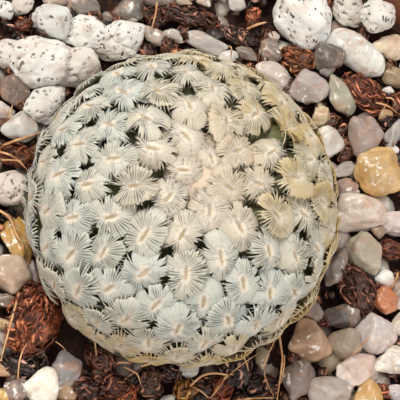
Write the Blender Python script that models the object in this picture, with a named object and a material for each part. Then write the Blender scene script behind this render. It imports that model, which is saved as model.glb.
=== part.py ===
"""A small globular mammillaria growing in a terracotta pot of gritty mix.

Lengths are in metres, +Z is up, and the origin is the centre of the pot's foot.
Four solids: the pot, the potting mix, the layer of stones and bark on top, and
the cactus with its taproot, its tubercles and the star of spines on each one.
"""

import math
import random

import bmesh
import bpy
from mathutils import Matrix, Vector

MM = 0.001
FIT_GAP = 0.3 * MM  # left between solids that touch in the real thing

# Pot, turned about the origin.
POT_HEIGHT = 80 * MM
RIM_RADIUS = 46 * MM
RIM_BAND = 18 * MM
RIM_STEP = 2.6 * MM
POT_WALL = 4.2 * MM
POT_FLOOR = 6 * MM
FOOT_RADIUS = 30.5 * MM
FOOT_WIDTH = 6 * MM
FOOT_RECESS = 1 * MM
DRAIN_RADIUS = 4.5 * MM
LIP_ROUND = 1 * MM
POT_SEGMENTS = 36

# Fill, from the pot's floor up.
MIX_TOP = 70.5 * MM
WALL_FLARE = 1.2 * MM  # of the pot's inner wall, from the foot of the rim band to the lip
FILL_RADIUS = RIM_RADIUS - POT_WALL - WALL_FLARE - FIT_GAP
GRAVEL_BED_TOP = 75.2 * MM
BED_SWELL, BED_CRUMB = 0.35 * MM, 0.6 * MM  # long waves, and each corner's own rise or fall
BED_RINGS = 5

# Cactus. Its ball is a little flatter than a sphere.
BALL_CENTRE = Vector((-2.8 * MM, -2.2 * MM, 84.2 * MM))
SPINE_RADIUS, SPINE_RISE = 18.7 * MM, 17.3 * MM  # over the tops of the spines
AREOLE_DEPTH = 0.6 * MM  # from there down to the areoles
FLESH_DEPTH = 3.6 * MM  # and down to the axils between tubercles
LOWEST_SPINE = -7.2 * MM  # from the ball's centre
BARE_RINGS = ((119, 16), (140, 9), (180, 1))  # polar angle and points, below the areoles
TAPROOT_SIDES = 12
TAPROOT = (  # radius, height from the ball's centre
    (0, -6 * MM),
    (6.0 * MM, -8 * MM),
    (6.8 * MM, -12 * MM),
    (5.6 * MM, -19 * MM),
    (3.4 * MM, -28 * MM),
    (1.4 * MM, -35 * MM),
    (0, -37.5 * MM),
)

# Areoles, in one spiral from the growing point. They crowd a little at its start.
AREOLES = 127
AREOLES_PER_HALF = 104.0
CROWDING = 1.1
DIVERGENCE = math.radians(137.508)
FIRST_BEARING = math.radians(95)

# The star of spines on one areole, and the neck of the tubercle under it.
SPINES_PER_STAR = 12
SPINE_REACH = 2.75 * MM
TIP_GAP = 0.16 * MM  # from a spine's tip to the middle line between two areoles
WEB_REACH = 0.75 * MM  # where the spines part
WEB_HEIGHT = 0.1 * MM
AREOLE_HALF_LENGTH = 0.8 * MM
STAR_CROWN = 0.6 * MM
STAR_DROOP = 0.55 * MM
NECK_RADIUS, NECK_DEPTH = 0.75 * MM, 0.65 * MM
USUAL_SPACING = 4.4 * MM  # between areoles; closer ones have smaller stars

# Stones and bark that show from above: kind, place east and north of the cactus,
# length, width, and the bearing of the length in degrees. All lengths in mm.
SHOWN_STONES = (
    ("pumice", -15, 22, 10.5, 8.5, 10),
    ("pumice", -16, 15.5, 5.5, 4.5, -30),
    ("pumice", -9, 25, 7.5, 6, -15),
    ("pumice", -14.5, 29, 5.5, 5, 0),
    ("pumice", -21, 24, 5.5, 4.5, 80),
    ("pumice", 17.5, 27.5, 9, 7.5, 25),
    ("pumice", 24.5, 29, 5.5, 4.5, 70),
    ("pumice", 30, 29.5, 5.5, 4.5, 10),
    ("pumice", -20, 5, 5, 4.5, 90),
    ("quartz", 25.5, 23.5, 8.5, 5.5, -35),
    ("quartz", 30, 24.5, 5.5, 4.5, 70),
    ("bark", 17.5, 22.5, 5, 4.5, 20),
    ("bark", 26.5, 18, 7.5, 5, -15),
    ("quartz", 14, 20, 6.5, 4, -28),
    ("quartz", 19, 17.5, 5, 4.5, 0),
    ("quartz", 22.5, 16, 5, 4, 60),
    ("quartz", 21.5, 11.5, 4.5, 4, 0),
    ("quartz", 26, 12, 5.5, 5, 80),
    ("amber", 27.5, 7.5, 6.5, 6.2, 0),
    ("quartz", 23, 6.5, 4.5, 3.6, 30),
    ("quartz", 25, 2.3, 8.5, 6, -5),
    ("quartz", 30, 1.5, 5, 4, 90),
    ("quartz", 25.5, -3, 5.5, 4.6, -30),
    ("quartz", 21.5, -4, 5, 4, 80),
    ("bark", 24, -8, 6.5, 4.2, 75),
    ("bark", 28, -9.5, 3.8, 3.6, 0),
    ("quartz", 18.5, -10.5, 4.6, 4, 30),
    ("quartz", 22, -11.5, 4, 3.4, 0),
    ("quartz", 18.5, -15, 5.4, 5, -30),
    ("quartz", 22.5, -15, 4.6, 4.2, 80),
    ("quartz", 26.5, -13.5, 5.6, 4.8, 0),
    ("quartz", 29, -16.5, 5, 4.6, 90),
    ("quartz", 24.5, -18, 5.6, 4.6, 10),
    ("quartz", 16.5, -19.5, 5.8, 4.6, 70),
    ("quartz", 21, -21, 5.4, 4.6, 0),
    ("amber", 25.5, -22, 4.6, 4.2, 0),
    ("bark", -17, -11, 8, 6.2, 60),
    ("bark", -18, -17, 5.5, 5, 0),
    ("quartz", -12.5, -18.5, 4.6, 4, 60),
    ("quartz", -16.5, -21.5, 5, 4.4, 80),
    ("quartz", -19.5, -6, 4.8, 4.4, 0),
    ("amber", -19, -1.2, 5, 3.8, 90),
    ("quartz", -19, 12.5, 4.6, 4.2, 0),
    ("quartz", -20, 18, 4.2, 4, 0),
    ("bark", -19.5, 8.5, 4.8, 3.4, -20),
    ("bark", 4.5, 28.5, 11, 3.6, -12),
    ("quartz", -2.5, 23.8, 4.2, 3.6, 30),
    ("quartz", 4.5, 23.2, 5.6, 3.6, -8),
    ("quartz", -4.5, 29, 4.8, 4, 0),
    ("bark", -9, -17, 4.6, 3.8, 20),
    ("bark", -4.5, -19.5, 4.6, 3.6, -30),
    ("bark", 1.5, -21.5, 5, 3.8, 10),
    ("bark", 8, -19.5, 4.4, 3.6, 60),
    ("bark", 12, -17.5, 4.2, 3.2, 80),
)
FILL_SEED = 11
FILL_SIZES = ((9.4, 150), (7.8, 500), (6.2, 900))  # size in mm, and tries at it
FILL_REACH = 0.77  # how close stones may stand, as a share of their sizes
NEAREST_FILL = 14 * MM  # from the cactus's middle to the middle of a stone
STONE_SWELL = 1.26  # stones stand this much larger than life, to cover the bed
STONE_SIDE_GAP = 0.2 * MM  # from the bed's edge, which is FIT_GAP from the pot
STONE_LIFT = 0.16  # share of a stone's thickness that its centre stands above the bed
THICKNESS = {"pumice": 0.8, "quartz": 0.78, "amber": 0.75, "bark": 0.72}
STONE_JITTER = 0.13  # of each corner, in or out
MOST_THICKNESS = 6 * MM

PAINTS = {  # base colour, roughness
    "pot": ((0.58, 0.24, 0.12), 0.85),
    "soil": ((0.06, 0.035, 0.02), 0.95),
    "gravel": ((0.55, 0.47, 0.40), 0.6),
    "cactus": ((0.72, 0.70, 0.58), 0.6),
}


def clear_scene():
    for old in list(bpy.data.objects):
        bpy.data.objects.remove(old)


def finished(name, bm):
    """An object in the scene, with the bmesh's faces turned outwards."""
    bmesh.ops.recalc_face_normals(bm, faces=bm.faces)
    mesh = bpy.data.meshes.new(name)
    bm.to_mesh(mesh)
    bm.free()
    made = bpy.data.objects.new(name, mesh)
    bpy.context.scene.collection.objects.link(made)
    return made


def painted(made):
    """Gives a node its own plain material, and smooth shading with crisp edges."""
    colour, roughness = PAINTS[made.name]
    paint = bpy.data.materials.new(made.name)
    paint.use_nodes = True
    shader = paint.node_tree.nodes["Principled BSDF"]
    shader.inputs["Base Color"].default_value = (*colour, 1)
    shader.inputs["Roughness"].default_value = roughness
    shader.inputs["Metallic"].default_value = 0
    made.data.materials.clear()
    made.data.materials.append(paint)
    made.data.shade_smooth()
    made.data.set_sharp_from_angle(angle=math.radians(35))
    return made


def turned(name, profile, segments, centre=Vector(), closed=False):
    """A solid of revolution about the vertical through centre.

    The profile is (radius, height) points. A closed one is a ring's section. An
    open one runs from a point on the axis to another.
    """
    bm = bmesh.new()
    rows = []
    for radius, height in profile:
        if radius == 0:
            rows.append([bm.verts.new(centre + Vector((0, 0, height)))] * segments)
            continue
        row = []
        for step in range(segments):
            turn = 2 * math.pi * step / segments
            across = Vector((radius * math.cos(turn), radius * math.sin(turn), height))
            row.append(bm.verts.new(centre + across))
        rows.append(row)
    pairs = list(zip(rows, rows[1:]))
    if closed:
        pairs.append((rows[-1], rows[0]))
    for low, high in pairs:
        for step in range(segments):
            after = (step + 1) % segments
            corners = [low[step], low[after], high[after], high[step]]
            bm.faces.new(list(dict.fromkeys(corners)))
    return finished(name, bm)


def applied(made, operation, others, solver):
    """Joins the objects in others to made, or cuts them from it, and removes them."""
    group = bpy.data.collections.new(made.name + "_operands")
    bpy.context.scene.collection.children.link(group)
    for other in others:
        for holder in list(other.users_collection):
            holder.objects.unlink(other)
        group.objects.link(other)
    step = made.modifiers.new(operation.lower(), "BOOLEAN")
    step.operation = operation
    step.operand_type = "COLLECTION"
    step.collection = group
    step.solver = solver
    bpy.context.view_layer.update()
    graph = bpy.context.evaluated_depsgraph_get()
    result = bpy.data.meshes.new_from_object(made.evaluated_get(graph))
    made.modifiers.clear()
    made.data = result
    for other in list(group.objects):
        bpy.data.objects.remove(other)
    bpy.data.collections.remove(group)
    return made


def one_shell(made):
    """Fills hollows that joining sealed and drops loose scraps, keeping the largest shell."""
    bm = bmesh.new()
    bm.from_mesh(made.data)
    left = set(bm.verts)
    shells = []
    while left:
        shell, front = [], [left.pop()]
        while front:
            corner = front.pop()
            shell.append(corner)
            linked = {edge.other_vert(corner) for edge in corner.link_edges} & left
            left -= linked
            front += linked
        shells.append(shell)
    shells.sort(key=len)
    for scrap in shells[:-1]:
        bmesh.ops.delete(bm, geom=scrap, context="VERTS")
    bm.to_mesh(made.data)
    bm.free()
    return made


def pot_inside_profile(gap=0.0):
    """The pot's inner wall from the lip down to the edge of its floor, gap inside it."""
    lip = RIM_RADIUS - POT_WALL
    band_foot = POT_HEIGHT - RIM_BAND
    floor = FOOT_RADIUS - 0.8 * POT_WALL
    return [
        (lip - gap, POT_HEIGHT - LIP_ROUND),
        (lip - WALL_FLARE - gap, band_foot + gap),
        (lip - 3.8 * MM - gap, band_foot - 2 * MM + gap),
        (floor + 1.2 * MM - gap, POT_FLOOR + 2.6 * MM),
        (floor - 1.2 * MM - gap, POT_FLOOR + gap),
    ]


def make_pot():
    """A thrown clay pot: foot ring, tapering wall, rolled band at the rim, drain hole."""
    band_foot = POT_HEIGHT - RIM_BAND
    outside = [
        (DRAIN_RADIUS, FOOT_RECESS),
        (FOOT_RADIUS - FOOT_WIDTH - FOOT_RECESS, FOOT_RECESS),
        (FOOT_RADIUS - FOOT_WIDTH, 0),
        (FOOT_RADIUS - LIP_ROUND, 0),
        (FOOT_RADIUS, LIP_ROUND),
        (RIM_RADIUS - 1.5 * MM - RIM_STEP, band_foot),
        (RIM_RADIUS - 1.5 * MM, band_foot + 0.8 * MM),
        (RIM_RADIUS, POT_HEIGHT - LIP_ROUND),
        (RIM_RADIUS - LIP_ROUND, POT_HEIGHT),
        (RIM_RADIUS - POT_WALL + LIP_ROUND, POT_HEIGHT),
    ]
    section = outside + pot_inside_profile() + [(DRAIN_RADIUS, POT_FLOOR)]
    return painted(turned("pot", section, POT_SEGMENTS, closed=True))


def ball_radius_at(height, radius, rise):
    """Radius of the flattened ball's surface at a height from its centre."""
    return radius * math.sqrt(max(0.0, 1 - (height / rise) ** 2))


def direction(polar, bearing):
    """A unit vector at an angle from the growing point and a compass bearing."""
    across = math.sin(polar)
    return Vector((across * math.cos(bearing), across * math.sin(bearing), math.cos(polar)))


def on_ball(toward, depth):
    """The point of the ball in a direction, at a depth under the tops of the spines."""
    radius, rise = SPINE_RADIUS - depth, SPINE_RISE - depth
    return BALL_CENTRE + Vector((radius * toward.x, radius * toward.y, rise * toward.z))


def areole_frame(toward):
    """A frame on the ball's areoles: X towards the growing point, Z straight out."""
    radius, rise = SPINE_RADIUS - AREOLE_DEPTH, SPINE_RISE - AREOLE_DEPTH
    out = Vector((toward.x / radius, toward.y / radius, toward.z / rise)).normalized()
    east = Vector((-toward.y, toward.x, 0)).normalized()
    frame = Matrix((east.cross(out), east, out)).transposed().to_4x4()
    frame.translation = on_ball(toward, AREOLE_DEPTH)
    return frame


def spiral():
    """The direction of each areole from the ball's centre, the youngest first."""
    for index in range(AREOLES):
        share = ((index + 0.7) / AREOLES_PER_HALF) ** CROWDING
        yield direction(math.acos(1 - share), FIRST_BEARING - index * DIVERGENCE)


def bearing_of(point):
    return math.atan2(point.y, point.x)


def between(first, second):
    """The bearing halfway from one bearing round to the next."""
    return first + ((second - first) % (2 * math.pi)) / 2


def stitched(bm, inner, outer):
    """Fills between two rings of (bearing, corner), both in order of their bearings."""
    nearest = []
    followers = outer[1:] + outer[:1]
    for (first, _), (second, _) in zip(outer, followers):
        middle = between(first, second)
        nearest.append(max(inner, key=lambda place: math.cos(place[0] - middle))[1])
    for step, ((_, corner), (_, following)) in enumerate(zip(outer, followers)):
        bm.faces.new((nearest[step], corner, following))
        if nearest[step - 1] is not nearest[step]:
            bm.faces.new((nearest[step - 1], corner, nearest[step]))


def spine_reach(root, way, neighbours):
    """How far a spine may reach from its root before it would cross a neighbour's."""
    reach = SPINE_REACH
    for place in neighbours:
        toward = place.to_2d().normalized()
        if way.dot(toward) > 0.2:
            border = place.to_2d().length / 2 - TIP_GAP
            reach = min(reach, (border - root.dot(toward)) / way.dot(toward))
    return reach


def grow_areole(bm, frame, axils, neighbours, turn):
    """A tubercle on its ring of axils, and its spines as one thin arched blade.

    The blade is cut into spines as far in as its web. Its crown is a short ridge
    that points to the growing point, as the areole does, and the spines spring
    from all along it.
    """

    def corner(spot, height):
        return bearing_of(spot), bm.verts.new(frame @ spot.to_3d() + frame.col[2].to_3d() * height)

    nearest = min(place.to_2d().length for place in neighbours)
    scale = min(1, nearest / USUAL_SPACING)
    half_length = AREOLE_HALF_LENGTH * scale
    edge = []
    for step in range(2 * SPINES_PER_STAR):
        bearing = turn + math.pi * step / SPINES_PER_STAR
        way = Vector((math.cos(bearing), math.sin(bearing)))
        root = Vector((half_length * way.x, 0))
        reach = spine_reach(root, way, neighbours)
        if step % 2:
            edge.append(corner(root + way * min(WEB_REACH * scale, 0.6 * reach), WEB_HEIGHT))
        else:
            edge.append(corner(root + way * reach, -STAR_DROOP * scale))
    crown = [corner(Vector((end * half_length, 0)), STAR_CROWN * scale) for end in (1, -1)]
    turns = [bearing for bearing, _ in axils]
    neck = []
    for pair in zip(turns, turns[1:] + turns[:1]):
        middle = between(*pair)
        spot = Vector((math.cos(middle), math.sin(middle))) * NECK_RADIUS * scale
        neck.append(corner(spot, -NECK_DEPTH * scale))
    stitched(bm, crown, edge)
    stitched(bm, neck, edge)
    stitched(bm, neck, axils)


def triangulated_directions():
    """A bmesh of unit directions, areoles first, joined in triangles to neighbours."""
    bm = bmesh.new()
    for toward in spiral():
        bm.verts.new(toward)
    for degrees, count in BARE_RINGS:
        for step in range(count):
            turn = 2 * math.pi * (step + 0.5) / count
            bm.verts.new(direction(math.radians(degrees), turn))
    bmesh.ops.convex_hull(bm, input=bm.verts)
    bm.verts.index_update()
    return bm


def make_cactus():
    """The flesh with a tubercle for each areole, its star of spines, and the taproot."""
    ways = triangulated_directions()
    draw = random.Random(3)
    bm = bmesh.new()
    axil = {
        face: bm.verts.new(on_ball(face.calc_center_median().normalized(), FLESH_DEPTH))
        for face in ways.faces
    }
    for way in ways.verts:
        frame = areole_frame(way.co)
        inside = frame.inverted()
        around = [(bearing_of(inside @ axil[face].co), axil[face]) for face in way.link_faces]
        axils = sorted(around, key=lambda place: place[0])
        if way.index < AREOLES:
            others = (edge.other_vert(way) for edge in way.link_edges)
            neighbours = [inside @ on_ball(other.co, AREOLE_DEPTH) for other in others]
            grow_areole(bm, frame, axils, neighbours, draw.uniform(0.05, 0.2))
        else:
            bare = bm.verts.new(on_ball(way.co, FLESH_DEPTH))
            for (_, first), (_, second) in zip(axils, axils[1:] + axils[:1]):
                bm.faces.new((bare, first, second))
    ways.free()
    cactus = finished("cactus", bm)
    taproot = turned("taproot", TAPROOT, TAPROOT_SIDES, BALL_CENTRE)
    return painted(applied(cactus, "UNION", [taproot], "EXACT"))


def clearance(name):
    """The room that the cactus takes, spines included, as a cutter for the fill."""
    radius, rise = SPINE_RADIUS + 0.5 * MM, SPINE_RISE + 0.5 * MM
    gap = 1.3 * FIT_GAP
    flesh_radius, flesh_rise = SPINE_RADIUS - FLESH_DEPTH + gap, SPINE_RISE - FLESH_DEPTH + gap
    profile = [(0, rise + 10 * MM), (radius, rise + 10 * MM), (radius, 0)]
    for height in (-3.5 * MM, LOWEST_SPINE):
        profile.append((ball_radius_at(height, radius, rise), height))
    for height in (LOWEST_SPINE - 0.5 * MM, -10 * MM, -12 * MM):
        profile.append((ball_radius_at(height, flesh_radius, flesh_rise), height))
    profile += [(root_radius + gap, height) for root_radius, height in TAPROOT[3:-1]]
    profile.append((0, TAPROOT[-1][1] - gap))
    return turned(name, profile, 2 * TAPROOT_SIDES, BALL_CENTRE)


def make_soil():
    """The potting mix under the stones, with a plain hole for the taproot."""
    inside = [point for point in pot_inside_profile(FIT_GAP) if point[1] < MIX_TOP]
    profile = [(0, MIX_TOP), (FILL_RADIUS, MIX_TOP), *inside, (0, POT_FLOOR + FIT_GAP)]
    soil = turned("soil", profile, POT_SEGMENTS)
    return painted(applied(soil, "DIFFERENCE", [clearance("root_hole")], "EXACT"))


def bed_height(x, y):
    """Height of the gravel bed's gently swelling top."""
    waves = math.sin(x / (9 * MM) + 1.0) * math.cos(y / (7 * MM)) + math.sin((x + y) / (13 * MM))
    return GRAVEL_BED_TOP + BED_SWELL * waves


def gravel_bed():
    """The packed fines that the stones sit in."""
    profile = [(0, GRAVEL_BED_TOP)]
    for ring in range(1, BED_RINGS + 1):
        profile.append((FILL_RADIUS * math.sqrt(ring / BED_RINGS), GRAVEL_BED_TOP))
    profile += [(FILL_RADIUS, MIX_TOP + FIT_GAP), (0, MIX_TOP + FIT_GAP)]
    bed = turned("gravel", profile, POT_SEGMENTS)
    draw = random.Random(8)
    for corner in bed.data.vertices:
        if corner.co.z > MIX_TOP + 2 * FIT_GAP:
            crumb = draw.uniform(-BED_CRUMB, BED_CRUMB)
            corner.co.z = bed_height(corner.co.x, corner.co.y) + crumb
    return bed


def all_stones():
    """The stones that show from above, then others that fill the pot around them.

    Each is kind, x, y, length, width and bearing, in metres and radians.
    """
    stones = []
    inside = FILL_RADIUS - STONE_SIDE_GAP
    for kind, east, north, length, width, bearing in SHOWN_STONES:
        length, width = length * STONE_SWELL * MM, width * STONE_SWELL * MM
        x, y = BALL_CENTRE.x + east * MM, BALL_CENTRE.y + north * MM
        drawn_in = min(1, (inside - length / 2 * (1 + STONE_JITTER)) / math.hypot(x, y))
        stones.append((kind, x * drawn_in, y * drawn_in, length, width, math.radians(bearing)))
    draw = random.Random(FILL_SEED)
    for size, tries in FILL_SIZES:
        for _ in range(tries):
            size_here = size * MM * draw.uniform(0.85, 1.1)
            far = math.sqrt(draw.uniform(0.1, 1)) * (inside - size_here / 2)
            turn = draw.uniform(0, 2 * math.pi)
            x, y = far * math.cos(turn), far * math.sin(turn)
            bearing = draw.uniform(0, math.pi)
            kind = draw.choice(("quartz", "quartz", "pumice", "bark"))
            if math.hypot(x - BALL_CENTRE.x, y - BALL_CENTRE.y) < NEAREST_FILL:
                continue
            if all(
                math.hypot(x - s[1], y - s[2]) > FILL_REACH * (size_here + (s[3] + s[4]) / 2) / 2
                for s in stones
            ):
                stones.append((kind, x, y, size_here, size_here * 0.85, bearing))
    return stones


def stone(kind, x, y, length, width, bearing, draw):
    """A rounded lump with twenty faces, half sunk in the bed."""
    thickness = min(THICKNESS[kind] * width, MOST_THICKNESS)
    bm = bmesh.new()
    bmesh.ops.create_icosphere(bm, subdivisions=1, radius=0.54)
    for corner in bm.verts:
        corner.co *= draw.uniform(1 - STONE_JITTER, 1 + STONE_JITTER)
    bmesh.ops.scale(bm, verts=bm.verts, vec=(length, width, thickness))
    lowest = MIX_TOP + FIT_GAP - min(corner.co.z for corner in bm.verts) + 0.1 * MM
    height = max(bed_height(x, y) + STONE_LIFT * thickness, lowest)
    bm.transform(Matrix.Translation((x, y, height)) @ Matrix.Rotation(bearing, 4, "Z"))
    return finished(kind, bm)


def make_gravel():
    """Pumice, quartz and bark, joined to the bed and cut clear of the cactus."""
    draw = random.Random(5)
    lumps = [stone(*placed, draw) for placed in all_stones()]
    gravel = applied(gravel_bed(), "UNION", lumps, "MANIFOLD")
    gravel = applied(gravel, "DIFFERENCE", [clearance("plant_hole")], "MANIFOLD")
    return painted(one_shell(gravel))


clear_scene()
make_pot()
make_soil()
make_gravel()
make_cactus()
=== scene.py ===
"""The finished look of a potted mammillaria: spines, flesh, stones, bark, mix and clay.

Lengths are in metres in the frame's own axes: +Z is up, and the origin is the
centre of the pot's foot. Directions over the gravel are named by the compass,
with east along +X and north along +Y.
"""

import math
from collections import namedtuple

import bmesh
import bpy
import numpy as np
from bpy.props import FloatProperty, FloatVectorProperty, IntProperty, PointerProperty
from mathutils import Matrix, Vector, noise


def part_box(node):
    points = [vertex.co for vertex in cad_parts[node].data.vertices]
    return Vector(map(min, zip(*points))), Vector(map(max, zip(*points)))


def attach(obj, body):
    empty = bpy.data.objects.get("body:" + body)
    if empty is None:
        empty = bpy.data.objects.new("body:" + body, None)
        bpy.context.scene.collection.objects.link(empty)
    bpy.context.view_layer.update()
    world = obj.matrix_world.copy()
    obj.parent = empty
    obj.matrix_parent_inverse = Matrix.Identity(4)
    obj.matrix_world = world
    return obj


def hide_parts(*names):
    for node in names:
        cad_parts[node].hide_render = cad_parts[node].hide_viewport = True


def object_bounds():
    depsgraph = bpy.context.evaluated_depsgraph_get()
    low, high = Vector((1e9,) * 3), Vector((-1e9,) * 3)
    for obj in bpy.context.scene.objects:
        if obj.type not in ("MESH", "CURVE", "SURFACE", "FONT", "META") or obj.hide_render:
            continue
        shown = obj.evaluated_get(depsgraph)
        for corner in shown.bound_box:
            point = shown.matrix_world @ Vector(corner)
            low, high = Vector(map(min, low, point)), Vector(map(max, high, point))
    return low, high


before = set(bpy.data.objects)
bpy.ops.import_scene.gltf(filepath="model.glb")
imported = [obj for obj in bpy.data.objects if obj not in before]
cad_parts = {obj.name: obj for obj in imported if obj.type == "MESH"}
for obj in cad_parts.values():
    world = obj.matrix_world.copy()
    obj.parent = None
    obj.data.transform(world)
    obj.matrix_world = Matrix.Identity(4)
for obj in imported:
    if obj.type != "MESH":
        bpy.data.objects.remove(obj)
CAD_BOX = [list(corner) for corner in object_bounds()]

bl_info = {
    "name": "Potted Mammillaria",
    "version": (1, 0, 0),
    "blender": (4, 5, 0),
    "location": "3D View > Sidebar > Mammillaria",
    "description": "Grows a small globular cactus in a clay pot of gritty mix",
    "category": "Add Mesh",
}

MM = 0.001
BODY = "root"

# The cactus's ball, the depths of its layers under the tops of the spines, and the height
# of its lowest spines over its middle. Those that would reach lower bend to lie there.
BALL_CENTRE = Vector((-2.8 * MM, -2.2 * MM, 84.2 * MM))
SPINE_RADIUS, SPINE_RISE = 18.7 * MM, 17.3 * MM
AREOLE_DEPTH = 0.6 * MM
FLESH_DEPTH = 3.6 * MM
LOWEST_SPINE = -7.2 * MM
SPINE_REST = 1.0 * MM
PLANT_GAP = 0.3 * MM
CROWN_DIP = 1.1 * MM
MIDDLE = np.array(BALL_CENTRE)
BALL_SIZE = np.array([SPINE_RADIUS, SPINE_RADIUS, SPINE_RISE])
ROUND_FLESH = BALL_SIZE - FLESH_DEPTH + PLANT_GAP

# Where the ball changes on its way down, as the Z of a direction from its middle, each
# with the span that the change takes: its dip, the young combs, those at its side, those
# whose upper half is raised, the loose ones, and the long ones at its foot.
DIP_Z = (0.88, 0.12)
YOUNG_Z = (0.84, 0.14)
SIDE_Z = (0.62, -0.4)
RAISED_Z = (-0.02, 0.35)
LOOSE_Z = (0.4, -0.4)
FOOT_Z = (-0.02, -0.2)
TUBERCLE_DEGREES = (118, -14)  # the same for the tubercles, from the growing point down
TAPROOT = ((6.5, -13.2), (5.6, -19), (3.4, -28), (1.4, -35), (0.0, -37.2))  # in mm

# Each comb of spines: the height of its roots over the areole, a spine's widths from root
# to tip, how far it strays from the sheet it lies in and sinks into it where they cling,
# and the web there. The web's reach is a share of a spine, with notches at the splits, and
# its slits have a depth at each of its rings.
COMB_HEIGHT = 0.5 * MM
SPINE_SHAPE = np.array([0.5, 0.85, 1.0, 0.9, 0.4])
SPINE_STRAY = 0.075 * MM
SPINE_FLATNESS = 0.3
SPINE_SINK = 0.02 * MM
WEB_REACH = 0.92
WEB_NOTCH = 0.5
WEB_RISE = -0.01 * MM
WEB_RIPPLE = 0.06 * MM
WEB_THICKNESS = 0.08 * MM
# WEB_SHADE is painted shade between the web's spines; the web's slits are painted dark as shade as well.
WEB_SHADE = 0.15
SLIT_DEPTH = 0.4 * MM
SLIT_SHAPE = np.array([0, 0.0, 0.55, 1.0, 0.8, 0.15])

# The felted line of an areole, and the wool at the growing point: its angle from there,
# and its hairs, whose lengths are in mm.
FELT_SHARE = 1.1
FELT_WIDTH = 0.095 * MM
FELT_HEIGHT = 0.05 * MM
PAD_DEGREES = 19
HAIR_DEGREES = 16
HAIRS = 260
HAIR_LENGTHS = (0.6, 1.1)
HAIR_SHAPE = 0.12 * MM * np.array([0.8, 1, 1, 0.8, 0.3])

# Where the combs leave the flesh bare: angle from the growing point and compass bearing,
# in degrees, and radius in mm.
GAPS = (
    (51, 91, 1.8),
    (55, 123, 1.6),
    (46, 111, 1.8),
    (49, 143, 1.6),
    (53, 153, 1.1),
    (36, 104, 1.6),
    (34, 156, 1.4),
    (40, 134, 1.2),
    (44, 164, 1.1),
    (20, -176, 1.1),
    (38, -170, 1.2),
    (35, -118, 0.9),
    (28, -150, 0.9),
    (12, -131, 0.6),
    (70, -128, 0.8),
    (45, -111, 0.8),
    (58, 74, 0.9),
    (51, 68, 1.8),
    (42, 81, 1.0),
    (30, 73, 1.1),
    (40, 54, 1.8),
    (36, 36, 1.3),
    (34, 21, 1.6),
    (52, 37, 1.0),
    (22, 44, 0.7),
    (25, 4, 1.1),
    (27, -12, 1.3),
    (11, 6, 0.7),
    (18, -39, 0.9),
    (30, -98, 1.0),
    (46, -26, 1.5),
    (58, -36, 1.1),
    (62, -56, 1.0),
    (71, -43, 0.9),
    (64, 167, 1.2),
    (93, -175, 1.2),
    (56, -174, 0.9),
    (51, 175, 0.7),
    (67, -160, 1.0),
    (50, -154, 0.8),
    (75, -148, 0.8),
    (65, -108, 0.8),
)

# Areoles, in one spiral from the growing point. They crowd a little at its start.
AREOLES = 127
AREOLES_PER_HALF = 104.0
CROWDING = 1.1
FIRST_STEP = 0.7  # how far along the spiral the youngest stands, in steps
DIVERGENCE = math.radians(137.508)
FIRST_BEARING = math.radians(95)
USUAL_SPACING = 4.4 * MM

# The fill and the clay around it, from the frame.
POT_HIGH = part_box("pot")[1]
SOIL_LOW, SOIL_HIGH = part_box("soil")
RIM_RADIUS, POT_HEIGHT = POT_HIGH.x, POT_HIGH.z
FILL_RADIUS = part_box("gravel")[1].x
MIX_TOP = SOIL_HIGH.z
BED_TOP = 75.2 * MM
BED_SWELL = 0.35 * MM
FINES_DROP = 1.5 * MM  # from there down to the fines between the stones


def linear(hex_colour):
    """A linear colour with full alpha from an sRGB hex value such as #C8A070."""
    channels = [int(hex_colour[place : place + 2], 16) / 255 for place in (1, 3, 5)]
    return (*(c / 12.92 if c < 0.04045 else ((c + 0.055) / 1.055) ** 2.4 for c in channels), 1)


def grey(value):
    return (value, value, value, 1)


def colour_of(name, description, hex_colour):
    limits = {"subtype": "COLOR", "size": 4, "min": 0, "max": 1}
    return FloatVectorProperty(name=name, description=description, default=linear(hex_colour), **limits)


def length_of(name, description, default, least):
    return FloatProperty(name=name, description=description, default=default, min=least, unit="LENGTH")


def number_of(name, description, default, least):
    return IntProperty(name=name, description=description, default=default, min=least)


class PlantSettings(bpy.types.PropertyGroup):
    """Sizes and colours of the cactus."""

    spines: number_of("Spines per Areole", "Radial spines on one areole", 38, 8)
    spine_length: length_of("Spine Length", "Length on a full-grown areole", 3.65 * MM, 0.5 * MM)
    spine_width: length_of("Spine Width", "Width where a spine is broadest", 0.33 * MM, 0.02 * MM)
    areole_length: length_of("Areole Length", "Felted line under the spines", 1.5 * MM, 0.2 * MM)
    spine_tip: colour_of("Spine Tip", "Colour of the spines towards their tips", "#C8CBC3")
    spine_root: colour_of("Spine Root", "Colour of the spines at the areole", "#EDE1CE")
    # the colour mixed into the creamier combs, towards the crown, the north-east side and the foot
    spine_warm: colour_of("Warm Spines", "Colour of the warmer, creamier clusters", "#CDAF74")
    spine_young: colour_of("Young Spines", "Colour of the spines at the growing point", "#CBBAA7")
    flesh_high: colour_of("Tubercle", "Colour of the tubercles' sides", "#666642")
    # painted shade: the flesh is darkened deep between the tubercles, where shadow falls
    flesh_axil_shade: colour_of("Axil", "Colour deep between the tubercles", "#33321F")
    felt: colour_of("Areole Felt", "Colour of the felted line", "#DDBE86")
    wool: colour_of("Crown Wool", "Colour of the wool at the growing point", "#CFC5BA")


class GritSettings(bpy.types.PropertyGroup):
    """Sizes and colours of the stones, bark and mix."""

    grit_size: length_of("Grit Size", "Width of the largest stones of the fill", 5.2 * MM, 1 * MM)
    fibres: number_of("Fibres", "Loose fibres lying over the stones", 46, 0)
    crumbs: number_of("Crumbs", "Crumbs of bark between the stones", 380, 0)
    pumice: colour_of("Pumice", "Colour of the pumice", "#EDEEED")
    peat: colour_of("Peat", "Colour of the crumbs between the stones", "#361C12")
    fibre: colour_of("Fibre", "Colour of the loose fibres", "#E6B888")


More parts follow.
